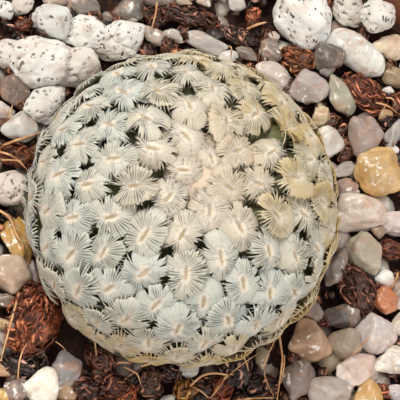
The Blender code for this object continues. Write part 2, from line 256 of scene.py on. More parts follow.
class PotSettings(bpy.types.PropertyGroup):
    """Colours of the clay and of the ground it stands on."""

    clay: colour_of("Clay", "Colour of the fired clay", "#B4643F")
    bloom: colour_of("Lime Bloom", "Colour of the lime that dries on the clay", "#D9C3B0")
    ground: colour_of("Ground", "Colour of the floor", "#E8E6E1")


def add(tree, kind, inputs=(), stops=(), **settings):
    """Adds a shader node, with its settings, its inputs' values or links, and a ramp's stops.

    inputs go by name, or in the order of the sockets in use. A node among them is linked
    by its first output in use. A node that is given no vector runs over the object in metres.
    """
    made = tree.nodes.new("ShaderNode" + kind)
    for name, value in settings.items():
        setattr(made, name, value)
    given = dict(inputs) if isinstance(inputs, dict) else dict(enumerate(inputs))
    if "Vector" in made.inputs and "Vector" not in given:
        where = tree.nodes.get("where") or add(tree, "TexCoord", name="where")
        given["Vector"] = where.outputs["Object"]
    used = [socket for socket in made.inputs if socket.enabled]
    for label, value in given.items():
        socket = used[label] if isinstance(label, int) else made.inputs[label]
        if isinstance(value, bpy.types.Node):
            value = next(output for output in value.outputs if output.enabled)
        if isinstance(value, bpy.types.NodeSocket):
            tree.links.new(value, socket)
        else:
            socket.default_value = value
    for place, (position, colour) in enumerate(stops):
        elements = made.color_ramp.elements
        stop = elements[place] if place < 2 else elements.new(position)
        stop.position = position
        stop.color = colour
    return made


def material(name, build, *given):
    """A new material of one principled shader. build adds its nodes and returns its inputs."""
    made = bpy.data.materials.new(name)
    made.use_nodes = True
    tree = made.node_tree
    tree.nodes.clear()
    shader = add(tree, "BsdfPrincipled", build(tree, *given))
    add(tree, "OutputMaterial", {"Surface": shader})
    return made


def piece(name, points, faces, paint, slot, replaced, attributes=None):
    """A smooth mesh that rides with the pot and stands for a node of the frame."""
    mesh = bpy.data.meshes.new(name)
    mesh.from_pydata(np.asarray(points).tolist(), [], faces)
    for label, values in (attributes or {}).items():
        values = np.asarray(values, np.float32)
        kind = "FLOAT" if values.ndim == 1 else "FLOAT_COLOR"
        layer = mesh.attributes.new(label, kind, "POINT")
        layer.data.foreach_set("value" if kind == "FLOAT" else "color", values.ravel())
    mesh.validate()
    mesh.shade_smooth()
    mesh.materials.append(paint)
    made = bpy.data.objects.new(name, mesh)
    bpy.context.scene.collection.objects.link(made)
    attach(made, BODY)
    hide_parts(replaced)


class Heap:
    """Gathers many small closed meshes into the points and faces of one piece."""

    def __init__(self):
        self.parts, self.faces, self.tints = [], [], []
        self.count = 0

    def lay(self, points, faces, tint=None, shade=1.0):
        """Adds a mesh, its colour, and how much darker, or brighter and paler, each point is.

        shade is one number, one for each point, or red, green and blue for each point.
        """
        self.parts.append(points)
        self.faces += [[corner + self.count for corner in face] for face in faces]
        self.count += len(points)
        if tint is not None:
            colours = np.tile(tint, (len(points), 1))
            shade = np.asarray(shade, float)
            shade = shade[:, None] if shade.ndim == 1 else shade
            # points brighter than their tint turn paler too, as painted highlights and painted light do
            paler = 0.05 * np.maximum(shade - 1, 0)
            colours[:, :3] = np.minimum(colours[:, :3] * shade + paler, 1)
            self.tints.append(colours)

    def points(self):
        return np.concatenate(self.parts)

    def attributes(self):
        return {"tint": np.concatenate(self.tints)}


def climb(value, start, span):
    """0 up to start, and evenly up to 1 a span past it. A negative span runs the other way."""
    return np.clip((value - start) / span, 0, 1)


def noise_at(points, size, octaves, seed=0.0):
    """Fractal noise, about -1 to 1, at each point. size is the width of its largest lumps."""
    places = np.asarray(points) / size + seed
    return np.array([noise.fractal(Vector(place), 1.0, 2.0, octaves) for place in places])


def unit(vectors):
    return vectors / np.linalg.norm(vectors, axis=-1, keepdims=True)


def moved(points, place):
    """Points carried from a place's own frame into the pot's."""
    return points @ place[:3, :3].T + place[:3, 3]


def turns_round(count):
    """Angles spaced evenly round a circle."""
    return 2 * np.pi * np.arange(count) / count


def row_turns(row, rows, columns):
    """The turns of one row of a closed turned surface, whose end rows are a single point."""
    turns = turns_round(columns)
    return turns[:1] if row in (0, rows - 1) else turns


def ring(radius, height, turns):
    """Points round the Z axis. radius is one number, or one for each turn."""
    return np.column_stack([radius * np.cos(turns), radius * np.sin(turns), np.full(len(turns), height)])


def strands(lines, widths, up, flatness, sides):
    """Closed tapering strands along lines of points, a little flattened towards up.

    lines is strands x rings x 3, widths is strands x rings, up is strands x 3.
    """
    count, rings, _ = lines.shape
    along = unit(np.gradient(lines, axis=1))
    across = unit(np.cross(along, up[:, None, :]))
    above = np.cross(across, along)
    turn = np.pi / 2 + turns_round(sides)
    broad = np.cos(turn)[:, None] * across[:, :, None]
    tall = flatness * np.sin(turn)[:, None] * above[:, :, None]
    points = lines[:, :, None] + (broad + tall) * widths[:, :, None, None] / 2
    first = np.arange(count)[:, None] * rings * sides
    faces = []
    for row in range(rings - 1):
        for side in range(sides):
            after = (side + 1) % sides
            low, high = row * sides, (row + 1) * sides
            faces.append(first + np.array([[low + side, high + side, high + after, low + after]]))
    walls = np.concatenate(faces).tolist()
    root = (first + np.arange(sides)).tolist()
    tip = (first + (rings - 1) * sides + np.arange(sides)[::-1]).tolist()
    return points.reshape(-1, 3), walls + root + tip


def lathe(rows, columns, ends_closed=True):
    """Faces of a surface turned about a line, for rows of points.

    The first and last rows are single points on the axis if ends_closed, and else the
    last row joins the first.
    """
    sizes = [1 if ends_closed and row in (0, rows - 1) else columns for row in range(rows)]
    starts = [sum(sizes[:row]) for row in range(rows)]
    faces = []
    for row in range(rows - 1 if ends_closed else rows):
        low, high = starts[row], starts[(row + 1) % rows]
        for step in range(columns):
            after = (step + 1) % columns
            if ends_closed and row == 0:
                faces.append((low, high + step, high + after))
            elif ends_closed and row == rows - 2:
                faces.append((low + step, high, low + after))
            else:
                faces.append((low + step, high + step, high + after, low + after))
    return faces


def smooth_profile(corners, spacing):
    """Points at about this spacing along a line of (radius, height) corners."""
    made = []
    for (r0, h0), (r1, h1) in zip(corners, corners[1:]):
        steps = max(1, round(math.hypot(r1 - r0, h1 - h0) / spacing))
        for step in range(steps):
            share = step / steps
            made.append((r0 + (r1 - r0) * share, h0 + (h1 - h0) * share))
    return made


def direction(polar, bearing):
    """A unit vector at an angle from the growing point and a compass bearing."""
    across = math.sin(polar)
    return Vector((across * math.cos(bearing), across * math.sin(bearing), math.cos(polar)))


def crown_dip(height):
    """How far the ball dips at the growing point, for the height of a direction, 0 to 1."""
    return CROWN_DIP * climb(height, *DIP_Z) ** 1.5


def on_ball(toward, depth):
    """The point of the ball in a direction, at a depth under the tops of the spines."""
    depth = depth + float(crown_dip(toward.z))
    radius, rise = SPINE_RADIUS - depth, SPINE_RISE - depth
    return BALL_CENTRE + Vector((radius * toward.x, radius * toward.y, rise * toward.z))


def areole_frame(toward):
    """A frame on the ball's areoles: X away from the growing point, Z straight out."""
    radius, rise = SPINE_RADIUS - AREOLE_DEPTH, SPINE_RISE - AREOLE_DEPTH
    out = Vector((toward.x / radius, toward.y / radius, toward.z / rise)).normalized()
    east = Vector((-toward.y, toward.x, 0)).normalized()
    made = Matrix((east.cross(out), east, out)).transposed().to_4x4()
    made.translation = on_ball(toward, AREOLE_DEPTH)
    return made


def spiral():
    """The direction of each areole from the ball's centre, the youngest first."""
    shares = [((index + FIRST_STEP) / AREOLES_PER_HALF) ** CROWDING for index in range(AREOLES)]
    return [
        direction(math.acos(1 - share), FIRST_BEARING - index * DIVERGENCE)
        for index, share in enumerate(shares)
    ]


def spacings(ways):
    """How far each areole is from its nearest neighbour."""
    places = np.array([on_ball(way, AREOLE_DEPTH) for way in ways])
    apart = np.linalg.norm(places[:, None] - places[None], axis=2)
    np.fill_diagonal(apart, 1)
    return apart.min(axis=1)


def warmth(ways):
    """How cream, not white, each areole's spines are: most at the crown, north-east and foot."""
    places = np.array(ways)
    crown = np.clip(1.15 * places[:, 2] - 0.35, 0, 1) ** 2
    north_east = np.clip(0.75 * places[:, 0] + 0.65 * places[:, 1], 0, 1)
    low = climb(places[:, 2], 0.45, -0.6)
    low *= np.clip(0.5 + 0.4 * places[:, 0] - 0.5 * places[:, 1], 0.25, 1)
    return np.clip(0.35 * crown + 0.85 * north_east + low, 0, 1)


def combs():
    """What sets the comb of spines on each areole apart: its place, size, folds, splits and warmth.

    The folds stand around a comb, each with its own lift, bend and length, and with how
    far the slits between its spines open. The comb goes evenly from one to the next.
    At a split the spines part by an angle. Down the ball's side the combs grow longer,
    looser and more open, and the half of each that points up lifts off the ball.
    """
    draw = np.random.default_rng(41)
    ways = spiral()
    made = []
    for way, spacing, warm in zip(ways, spacings(ways), warmth(ways)):
        young = climb(way.z, *YOUNG_Z)
        side = climb(way.z, *SIDE_Z)
        loose = climb(way.z, *LOOSE_Z)
        folded = draw.random() < (0.25 if way.z > 0.6 and way.y > -0.3 else 0.0)
        lean = min(1.0, 0.4 + max(0.0, way.z - 0.2) * 2)
        sway = 6 * lean + 7 * loose
        tilt = Matrix.Rotation(math.radians(draw.uniform(-sway, sway)), 4, "X")
        tilt @= Matrix.Rotation(math.radians(draw.uniform(-sway, sway)), 4, "Y")
        twist = Matrix.Rotation(math.radians(draw.uniform(-16, 16)), 4, "Z")
        folds, splits = int(draw.integers(6, 9)), int(draw.integers(3, 7))
        open_ones = draw.random(folds) < 0.5 + 0.25 * side
        slits = np.where(open_ones, draw.uniform(0.6, 1.0, folds), 0.1)
        longer = (1 + 0.1 * side) * (1 + 0.35 * climb(way.z, *FOOT_Z))
        spread = draw.uniform(0.94, 1.08) * longer
        comb = {
            "place": np.array(areole_frame(way) @ tilt @ twist),
            "scale": max(0.6, min(1.0, spacing / USUAL_SPACING)) * spread,
            "height": COMB_HEIGHT + draw.uniform(-0.07, 0.07) * MM,
            "lift": math.radians(draw.uniform(8, 16) * lean + draw.uniform(0, 10) * loose),
            "bend": math.radians(60 if folded else 84 - 24 * side),
            "fold": math.radians(draw.uniform(14, 26) if folded else draw.uniform(0, 14)),
            "crumple": draw.uniform(0.05, 0.16) * MM,
            "phase": draw.uniform(0, 2 * np.pi),
            "turn": 2 * np.pi * (np.arange(folds) + draw.uniform(-0.3, 0.3, folds)) / folds,
            "fold_lift": np.radians(draw.uniform(-6, 6, folds)),
            "fold_bend": np.radians(draw.uniform(-12, 12, folds)),
            "fold_length": draw.uniform(0.9 - 0.25 * loose, 1.1 + 0.05 * loose, folds),
            "loose": loose,
            "upward": side * climb(way.z, *RAISED_Z),
            "fold_slits": slits * (1 - 0.7 * young),
            "splits": draw.uniform(0, 2 * np.pi, splits),
            "parting": np.radians(draw.uniform(3, 9, splits)),
            "warm": np.clip(warm + 0.3 * folded + draw.uniform(-0.15, 0.15), 0, 1),
            "young": 0.75 * young,
        }
        made.append(comb)
    return made


def at_folds(comb, label, turn):
    """What a comb's folds give at these turns."""
    return np.interp(turn, comb["turn"], comb["fold_" + label], period=2 * np.pi)


def parted(comb, turn):
    """For each turn, how far its line is pushed away from the splits, and how near one is."""
    apart = (turn[:, None] - comb["splits"] + np.pi) % (2 * np.pi) - np.pi
    push = np.sign(apart) * np.exp(-((apart / 0.3) ** 2)) * comb["parting"]
    return push.sum(axis=1), np.exp(-((apart / 0.09) ** 2)).max(axis=1)


def clear_share(path):
    """For each line, the share of it that lies before it would enter one of the gaps."""
    away = path - MIDDLE
    inside = np.zeros(path.shape[:2], bool)
    order = np.arange(len(path))
    ragged = 0.8 + 0.45 * np.sin(2.1 * order) + 0.3 * np.sin(0.7 * order)
    for polar, bearing, radius in GAPS:
        way = np.array(direction(math.radians(polar), math.radians(bearing)))
        along = away @ way
        across = np.linalg.norm(away - along[:, :, None] * way, axis=2)
        inside |= (along > 0) & (across < radius * MM * ragged[:, None])
    first = np.where(inside.any(axis=1), inside.argmax(axis=1), path.shape[1] - 1)
    return np.maximum(first / (path.shape[1] - 1), 0.3)


def comb_lines(comb, turn, reach, rings, settings, cut=True):
    """Lines that leave a comb's areole at these turns, as turns x rings x 3 points.

    reach is each line's length as a share of a whole spine. With cut, a line stops
    short of the gaps.
    """
    if cut:
        reach = reach * clear_share(comb_lines(comb, turn, reach, 13, settings, cut=False))
    share = np.linspace(0, 1, rings) * reach[:, None]
    # Turns start at the side away from the growing point, so the upper side is half way round.
    upward = -comb["upward"] * np.cos(turn)
    lift = comb["lift"] + comb["fold"] * np.abs(np.sin(turn)) + at_folds(comb, "lift", turn)
    lift = lift + math.radians(8) * upward
    bend = (comb["bend"] + at_folds(comb, "bend", turn)) * (1 - 0.25 * upward)
    slope = lift[:, None] - bend[:, None] * share**1.25
    bearing = np.arctan2(np.sin(turn), 0.9 * np.cos(turn))[:, None]
    bearing = bearing + parted(comb, turn)[0][:, None] * share**1.5
    length = settings.spine_length * comb["scale"] * reach * at_folds(comb, "length", turn)
    length = length * (1 + 0.12 * upward)
    step = (length / (rings - 1))[:, None]
    flat, tall = np.cos(slope) * step, np.sin(slope) * step
    path = np.stack([flat * np.cos(bearing), flat * np.sin(bearing), tall], axis=2)
    path = np.cumsum(path, axis=1) - path[:, :1]
    path[:, :, 0] += (settings.areole_length / 2 * comb["scale"] * np.cos(turn))[:, None]
    waves = np.sin(3 * turn[:, None] + 5 * share + comb["phase"]) * share
    path[:, :, 2] += comb["height"] * comb["scale"] + comb["crumple"] * waves
    return moved(path, comb["place"])


def spines_of(comb, settings):
    """How many spines a comb has: fewer where it is small."""
    return max(18, round(settings.spines * min(1, comb["scale"] + 0.15)))


def held_in(points):
    """Keeps spines under the top of the frame's box, and bends the lowest to lie over the stones."""
    points[..., 2] = np.minimum(points[..., 2], CAD_BOX[1][2] - 0.15 * MM)
    below = np.maximum(0, BALL_CENTRE.z + LOWEST_SPINE + SPINE_REST - points[..., 2])
    points[..., 2] += below - SPINE_REST * (1 - np.exp(-below / SPINE_REST))
    return points


def spine_fibre(tree, settings):
    """Spines grown of plant fibre: dull white with a soft glow, cream where they spring. Their paler
    roots and greyer tips are partly painted highlight and painted shade, and their slits and the grooves
    between them are painted darker as shade.
    """
    labels = ("reach", "warm", "young", "gap")
    shares = [add(tree, "Attribute", attribute_name=label).outputs["Fac"] for label in labels]
    reach, warm, young, gap = shares
    stain = add(tree, "TexNoise", {"Scale": 1 / (3 * MM), "Detail": 2.0})
    cream = add(tree, "Math", (stain, warm), operation="MULTIPLY")
    creamy = add(tree, "Math", (cream, 1.7), operation="MULTIPLY", use_clamp=True)
    tip = add(tree, "Mix", (creamy, settings.spine_tip, settings.spine_warm), data_type="RGBA")
    fresh = add(tree, "Mix", (young, tip, settings.spine_young), data_type="RGBA")
    # partly painted light: the paler roots stand for the highlight at each comb's middle and the greyer
    # tips for shade towards its edge; the cream at the root is the spines' own
    length = add(tree, "ValToRGB", (reach,), ((0.02, grey(0)), (0.42, grey(1))))
    colour = add(tree, "Mix", (length, settings.spine_root, fresh), data_type="RGBA")
    streaks = add(tree, "TexNoise", {"Scale": 1 / (0.25 * MM), "Detail": 1.0})
    return {
        # painted shade: in the slits and between the spines the colour is mixed towards dark olive
        "Base Color": add(tree, "Mix", (gap, colour, linear("#4A4530")), data_type="RGBA"),
        "Normal": add(tree, "Bump", {"Height": streaks, "Strength": 0.2, "Distance": 0.03 * MM}),
        "Roughness": 0.45,
        "IOR": 1.5,
        "Subsurface Weight": 0.3,
        "Subsurface Radius": (1.0, 0.85, 0.6),
        "Subsurface Scale": 0.5 * MM,
    }


class MAMMILLARIA_OT_spines(bpy.types.Operator):
    """Grow the comb of spines on every areole"""

    bl_idname = "mammillaria.spines"
    bl_label = "Spines"

    def execute(self, context):
        settings = context.scene.mammillaria_plant
        draw = np.random.default_rng(43)
        rings, sides = len(SPINE_SHAPE), 3
        share = np.linspace(0, 1, rings)
        lines, widths, ups, warms, youngs = [], [], [], [], []
        for comb in combs():
            count = spines_of(comb, settings)
            turn = 2 * np.pi * (np.arange(count) + draw.uniform(-0.15, 0.15, count)) / count
            reach = draw.uniform(0.86 - 0.1 * comb["loose"], 1.0, count)
            path = comb_lines(comb, turn, reach, rings, settings)
            stray = draw.normal(0, SPINE_STRAY, (count, 1, 3)) * (share**2)[:, None]
            stray *= 1 + comb["loose"]
            open_share = at_folds(comb, "slits", turn)
            sunk = (SPINE_SINK * (1 - open_share))[:, None] * np.minimum(1, 3 * share)
            lines.append(held_in(path + stray - sunk[:, :, None] * comb["place"][:3, 2]))
            breadth = settings.spine_width * (0.6 + 0.4 * comb["scale"]) * (1 - 0.35 * open_share)
            widths.append(breadth[:, None] * SPINE_SHAPE * draw.uniform(0.85, 1.15, (count, 1)))
            ups.append(np.tile(comb["place"][:3, 2], (count, 1)))
            warms.append(np.full(count, comb["warm"]))
            youngs.append(np.full(count, comb["young"]))
        lines, widths, ups = np.concatenate(lines), np.concatenate(widths), np.concatenate(ups)
        points, faces = strands(lines, widths, ups, SPINE_FLATNESS, sides)
        layers = {
            "reach": np.repeat(np.tile(share, len(lines)), sides),
            "warm": np.repeat(np.concatenate(warms), rings * sides),
            "young": np.repeat(np.concatenate(youngs), rings * sides),
        }
        paint = material("spine fibre, grown", spine_fibre, settings)
        piece("spines", points, faces, paint, "cactus", "cactus", layers)
        return {"FINISHED"}


class MAMMILLARIA_OT_webs(bpy.types.Operator):
    """Fill each comb where its spines cling together in sheets, with slits left in some"""

    bl_idname = "mammillaria.webs"
    bl_label = "Webs"

    def execute(self, context):
        settings = context.scene.mammillaria_plant
        rings = len(SLIT_SHAPE)
        share = np.linspace(0, 1, rings)
        draw = np.random.default_rng(59)
        heap = Heap()
        layers = {"reach": [], "warm": [], "young": [], "gap": []}
        for comb in combs():
            turns = 2 * spines_of(comb, settings)
            turn = turns_round(turns)
            between = np.arange(turns) % 2
            uneven = draw.uniform(0, 1, turns)
            open_share = at_folds(comb, "slits", turn)
            edge = WEB_REACH * (1 - 0.25 * open_share) * (1 - 0.12 * uneven)
            edge *= 1 - WEB_NOTCH * parted(comb, turn)[1]
            edge *= 1 - 0.26 * comb["loose"]
            out = comb["place"][:3, 2]
            top = comb_lines(comb, turn, edge, rings, settings)
            open_by = between * open_share * draw.uniform(0.2, 1, turns)
            gap = open_by[:, None] * SLIT_SHAPE
            ripple = WEB_RIPPLE * between * (0.6 + 0.4 * open_share)
            rise = WEB_RISE - ripple[:, None] * share * (1 - share) * 4
            top += (rise - SLIT_DEPTH * gap)[:, :, None] * out
            top = held_in(top)
            bottom = top[:, [rings - 1, 0]] - out * WEB_THICKNESS
            bottom[:, 1] -= out * SLIT_DEPTH
            points = np.concatenate([top, bottom], axis=1).transpose(1, 0, 2)
            heap.lay(points.reshape(-1, 3), lathe(rings + 2, turns, ends_closed=False))
            layers["reach"].append(np.repeat([*share * WEB_REACH, WEB_REACH, 0], turns))
            for label in ("warm", "young"):
                layers[label].append(np.full((rings + 2) * turns, comb[label]))
            # painted shade: the web is darkened in its slits, and between its spines by WEB_SHADE
            shade = np.maximum(gap, WEB_SHADE * between[:, None] * np.clip(2.5 * share - 0.5, 0, 1))
            layers["gap"].append(np.concatenate([shade.T.ravel(), np.zeros(2 * turns)]))
        layers = {label: np.concatenate(values) for label, values in layers.items()}
        paint = material("spine fibre, grown", spine_fibre, settings)
        piece("spine_webs", heap.points(), heap.faces, paint, "cactus", "cactus", layers)
        return {"FINISHED"}


def flesh_profile():
    """(radius, height, open share) down the flesh from the crown, and on down the taproot.

    Heights are over the ball's middle. The open share is 1 where tubercles stand and falls
    to 0 on the taproot.
    """
    radius, rise = SPINE_RADIUS - FLESH_DEPTH, SPINE_RISE - FLESH_DEPTH
    made = []
    for degrees in np.arange(0, 149, 1.5):
        polar = math.radians(degrees)
        made.append((radius * math.sin(polar), rise * math.cos(polar), climb(degrees, *TUBERCLE_DEGREES)))
    corners = [made[-1][:2]] + [(r * MM, h * MM) for r, h in TAPROOT]
    below = smooth_profile(corners, 0.7 * MM)[1:] + [corners[-1]]
    return made + [(r, h, 0.0) for r, h in below]


def grown_flesh():
    """Points, faces and tubercle share of the flesh, with a cone under every areole."""
    columns = 180
    profile = flesh_profile()
    ways = np.array(spiral())
    widths = np.clip(spacings(spiral()), 0, USUAL_SPACING) * 0.62
    rise_of_cone = FLESH_DEPTH - AREOLE_DEPTH - 0.15 * MM
    points, shares = [], []
    for row, (radius, height, openness) in enumerate(profile):
        spot = ring(radius, height, row_turns(row, len(profile), columns))
        toward = unit(spot / BALL_SIZE + 1e-12)
        apart = np.arccos(np.clip(toward @ ways.T, -1, 1)) * (SPINE_RADIUS - AREOLE_DEPTH)
        near = np.clip(1 - apart / (1.6 * widths), 0, 1)
        cone = (near * near * (3 - 2 * near)) ** 0.8
        lifted = cone.max(axis=1) * openness
        risen = lifted * rise_of_cone - crown_dip(toward[:, 2])
        points.append(spot + toward * risen[:, None] + MIDDLE)
        shares.append(lifted)
    points, shares = np.concatenate(points), np.concatenate(shares)
    wrinkle = noise_at(points * np.array([1, 1, 2.5]), 1.2 * MM, 3)
    points += unit(points - MIDDLE) * (wrinkle * 0.06 * MM)[:, None]
    return points, lathe(len(profile), columns), shares


def waxy_skin(tree, settings):
    """Living skin with a waxy cuticle: dark green, satin, and finely flecked, with painted shade
    darkening it deep between the tubercles.
    """
    height = add(tree, "Attribute", attribute_name="tubercle").outputs["Fac"]
    blotch = add(tree, "TexNoise", {"Scale": 1 / (2.2 * MM), "Detail": 3.0})
    fleck = add(tree, "TexVoronoi", {"Scale": 1 / (0.28 * MM)})
    spot = add(tree, "ValToRGB", (fleck,), ((0.1, grey(1)), (0.28, grey(0))))
    depth = add(tree, "Math", (height, blotch), operation="ADD")
    # painted shade: darker down in the axils, lighter up the tubercles' sides
    colours = ((0.35, settings.flesh_axil_shade), (0.95, settings.flesh_high))
    shade = add(tree, "ValToRGB", (depth,), colours)
    flecked = add(tree, "Mix", (spot, shade, linear("#8E9270")), data_type="RGBA")
    return {
        "Base Color": add(tree, "Mix", (0.3, shade, flecked), data_type="RGBA"),
        "Normal": add(tree, "Bump", {"Height": blotch, "Strength": 0.3, "Distance": 0.1 * MM}),
        "Roughness": 0.5,
        "IOR": 1.45,
        "Subsurface Weight": 0.12,
        "Subsurface Radius": (0.4, 0.8, 0.2),
        "Subsurface Scale": 0.6 * MM,
    }


class MAMMILLARIA_OT_flesh(bpy.types.Operator):
    """Grow the green body with a tubercle under each areole, and its taproot"""

    bl_idname = "mammillaria.flesh"
    bl_label = "Flesh"

    def execute(self, context):
        points, faces, shares = grown_flesh()
        paint = material("cactus skin, waxy", waxy_skin, context.scene.mammillaria_plant)
        piece("flesh", points, faces, paint, "cactus", "cactus", {"tubercle": shares})
        return {"FINISHED"}


def felt(tree, colour, deep):
    """Felt of short matted hairs: quite dull, lit softly at its edge."""
    tuft = add(tree, "TexNoise", {"Scale": 1 / (0.3 * MM), "Detail": 4.0})
    return {
        "Base Color": add(tree, "ValToRGB", (tuft,), ((0.35, deep), (0.65, colour))),
        "Normal": add(tree, "Bump", {"Height": tuft, "Strength": 0.6, "Distance": 0.05 * MM}),
        "Roughness": 0.9,
        "Sheen Weight": 0.3,
        "Subsurface Weight": 0.15,
        "Subsurface Scale": 0.3 * MM,
    }


class MAMMILLARIA_OT_areoles(bpy.types.Operator):
    """Lay the felted line of each areole along the top of its tubercle"""

    bl_idname = "mammillaria.areoles"
    bl_label = "Areoles"

    def execute(self, context):
        settings = context.scene.mammillaria_plant
        draw = np.random.default_rng(47)
        share = np.linspace(-1, 1, 7)
        width = FELT_WIDTH * np.sqrt(np.clip(1.02 - share**2, 0.03, 1))
        lines, ups = [], []
        for comb in combs():
            half = FELT_SHARE * settings.areole_length / 2 * comb["scale"]
            curve = draw.uniform(-0.16, 0.16) * MM
            height = comb["height"] * comb["scale"] + FELT_HEIGHT * (1.6 - share**2)
            path = np.stack([half * share, curve * (1 - share**2), height], axis=1)
            lines.append(held_in(moved(path, comb["place"])))
            ups.append(comb["place"][:3, 2])
        widths = np.tile(width, (len(lines), 1))
        points, faces = strands(np.array(lines), widths, np.array(ups), 0.9, 6)
        paint = material("areole felt, grown", felt, settings.felt, linear("#C09A56"))
        piece("areole_lines", points, faces, paint, "cactus", "cactus")
        return {"FINISHED"}


def wool_pad():
    """The matted pad of wool over the growing point, which the loose hairs stand on."""
    columns = 60
    down = np.linspace(0, PAD_DEGREES, 18)
    outline = [(angle, 0.45 + 1.9 * (angle / PAD_DEGREES) ** 3) for angle in down]
    outline += [(angle, 3.3) for angle in (18, 9, 0)]
    points = []
    for row, (angle, depth) in enumerate(outline):
        for bearing in row_turns(row, len(outline), columns):
            points.append(on_ball(direction(math.radians(angle), bearing), depth * MM))
    points = np.array(points)
    points[:, 2] += 0.12 * MM * noise_at(points, 0.9 * MM, 3)
    return points, lathe(len(outline), columns)


class MAMMILLARIA_OT_crown_wool(bpy.types.Operator):
    """Grow the wool that fills between the youngest areoles"""

    bl_idname = "mammillaria.crown_wool"
    bl_label = "Crown Wool"

    def execute(self, context):
        settings = context.scene.mammillaria_plant
        draw = np.random.default_rng(17)
        rings = len(HAIR_SHAPE)
        share = np.linspace(0, 1, rings)
        lines, ups = [], []
        for _ in range(HAIRS):
            polar = math.radians(HAIR_DEGREES) * math.sqrt(draw.random())
            way = direction(polar, draw.uniform(0, 2 * math.pi))
            place = np.array(areole_frame(way))
            length = draw.uniform(*HAIR_LENGTHS) * MM
            turn = draw.uniform(0, 2 * math.pi) + draw.uniform(-2.2, 2.2) * share
            lift = math.radians(draw.uniform(15, 60)) - math.radians(70) * share
            flat = np.cos(lift)
            path = np.stack([flat * np.cos(turn), flat * np.sin(turn), np.sin(lift)], axis=1)
            path = np.cumsum(path, axis=0) * length / rings
            path[:, 2] -= 0.15 * MM
            lines.append(moved(path, place))
            ups.append(place[:3, 2])
        widths = np.tile(HAIR_SHAPE, (HAIRS, 1))
        heap = Heap()
        heap.lay(*strands(held_in(np.array(lines)), widths, np.array(ups), 0.8, 3))
        heap.lay(*wool_pad())
        paint = material("crown wool, grown", felt, settings.wool, linear("#D8BFA4"))
        piece("crown_wool", heap.points(), heap.faces, paint, "cactus", "cactus")
        return {"FINISHED"}


def bed_height(x, y):
    """Height of the gravel bed's gently swelling top."""
    waves = np.sin(x / (9 * MM) + 1.0) * np.cos(y / (7 * MM)) + np.sin((x + y) / (13 * MM))
    return BED_TOP + BED_SWELL * waves


def kept_clear(points):
    """Pushes points out of the cactus, its spines included, and inside the fill's edge."""
    away = points - MIDDLE
    beside_spines = (away[:, 2] > LOWEST_SPINE - 0.4 * MM)[:, None]
    shells = np.where(beside_spines, BALL_SIZE + PLANT_GAP, ROUND_FLESH)
    inside = np.linalg.norm(away / shells, axis=1)
    away = np.where((inside < 1)[:, None], away / np.maximum(inside, 0.2)[:, None], away)
    made = MIDDLE + away
    reach = np.hypot(made[:, 0], made[:, 1])
    drawn_in = np.minimum(1, (FILL_RADIUS - 0.1 * MM) / np.maximum(reach, 1e-6))
    made[:, :2] *= drawn_in[:, None]
    made[:, 2] = np.maximum(made[:, 2], MIX_TOP + 0.35 * MM)
    return made


SPHERES = {}


def sphere(subdivisions):
    """Unit directions and triangles of an icosphere, made once for each fineness."""
    if subdivisions not in SPHERES:
        bm = bmesh.new()
        bmesh.ops.create_icosphere(bm, subdivisions=subdivisions, radius=1)
        bm.verts.index_update()
        points = unit(np.array([corner.co for corner in bm.verts]))
        faces = [[corner.index for corner in face.verts] for face in bm.faces]
        bm.free()
        SPHERES[subdivisions] = (points, faces)
    return SPHERES[subdivisions]


def worn_block(points, facets, sharpness, draw):
    """Directions moved out to a block cut by planes, with its edges rounded off.

    A high sharpness leaves the edges crisp, a low one rounds the block to a pebble.
    """
    step = np.arange(facets) + 0.5
    height = 1 - 2 * step / facets
    turn = step * DIVERGENCE + draw.uniform(0, 6)
    across = np.sqrt(1 - height**2)
    planes = np.stack([across * np.cos(turn), across * np.sin(turn), height], axis=1)
    planes = unit(planes + draw.normal(0, 0.22, planes.shape))
    depths = draw.uniform(0.72, 1.0, facets)
    reach = np.maximum(points @ planes.T, 0) / depths
    radius = (reach**sharpness).sum(axis=1) ** (-1 / sharpness)
    return points * np.minimum(radius, 1.25)[:, None]


def fitted(shape, size):
    """A shape scaled to its length, width and thickness, about its own middle."""
    low, high = shape.min(axis=0), shape.max(axis=0)
    return (shape - (low + high) / 2) / (high - low) * size


def seat(x, y, bearing, lift, draw):
    """Where a lump lies: turned, tilted a little, and lifted over the bed."""
    turn = Matrix.Rotation(bearing, 4, "Z") @ Matrix.Rotation(draw.uniform(-0.3, 0.3), 4, "X")
    turn @= Matrix.Rotation(draw.uniform(-0.2, 0.2), 4, "Y")
    return np.array(Matrix.Translation((x, y, bed_height(x, y) + lift)) @ turn)


# Bark flakes: their usual size, how bright they are, and the share of them that is so. The brightest and
# palest are painted glints; the others differ in tone at random.
FLAKE_LENGTH, FLAKE_WIDTH = 1.1 * MM, 0.34 * MM
FLAKE_SHADES = (0.3, 0.65, 1.15, 2.0, 3.8)
FLAKE_SHARES = (0.16, 0.24, 0.24, 0.22, 0.14)


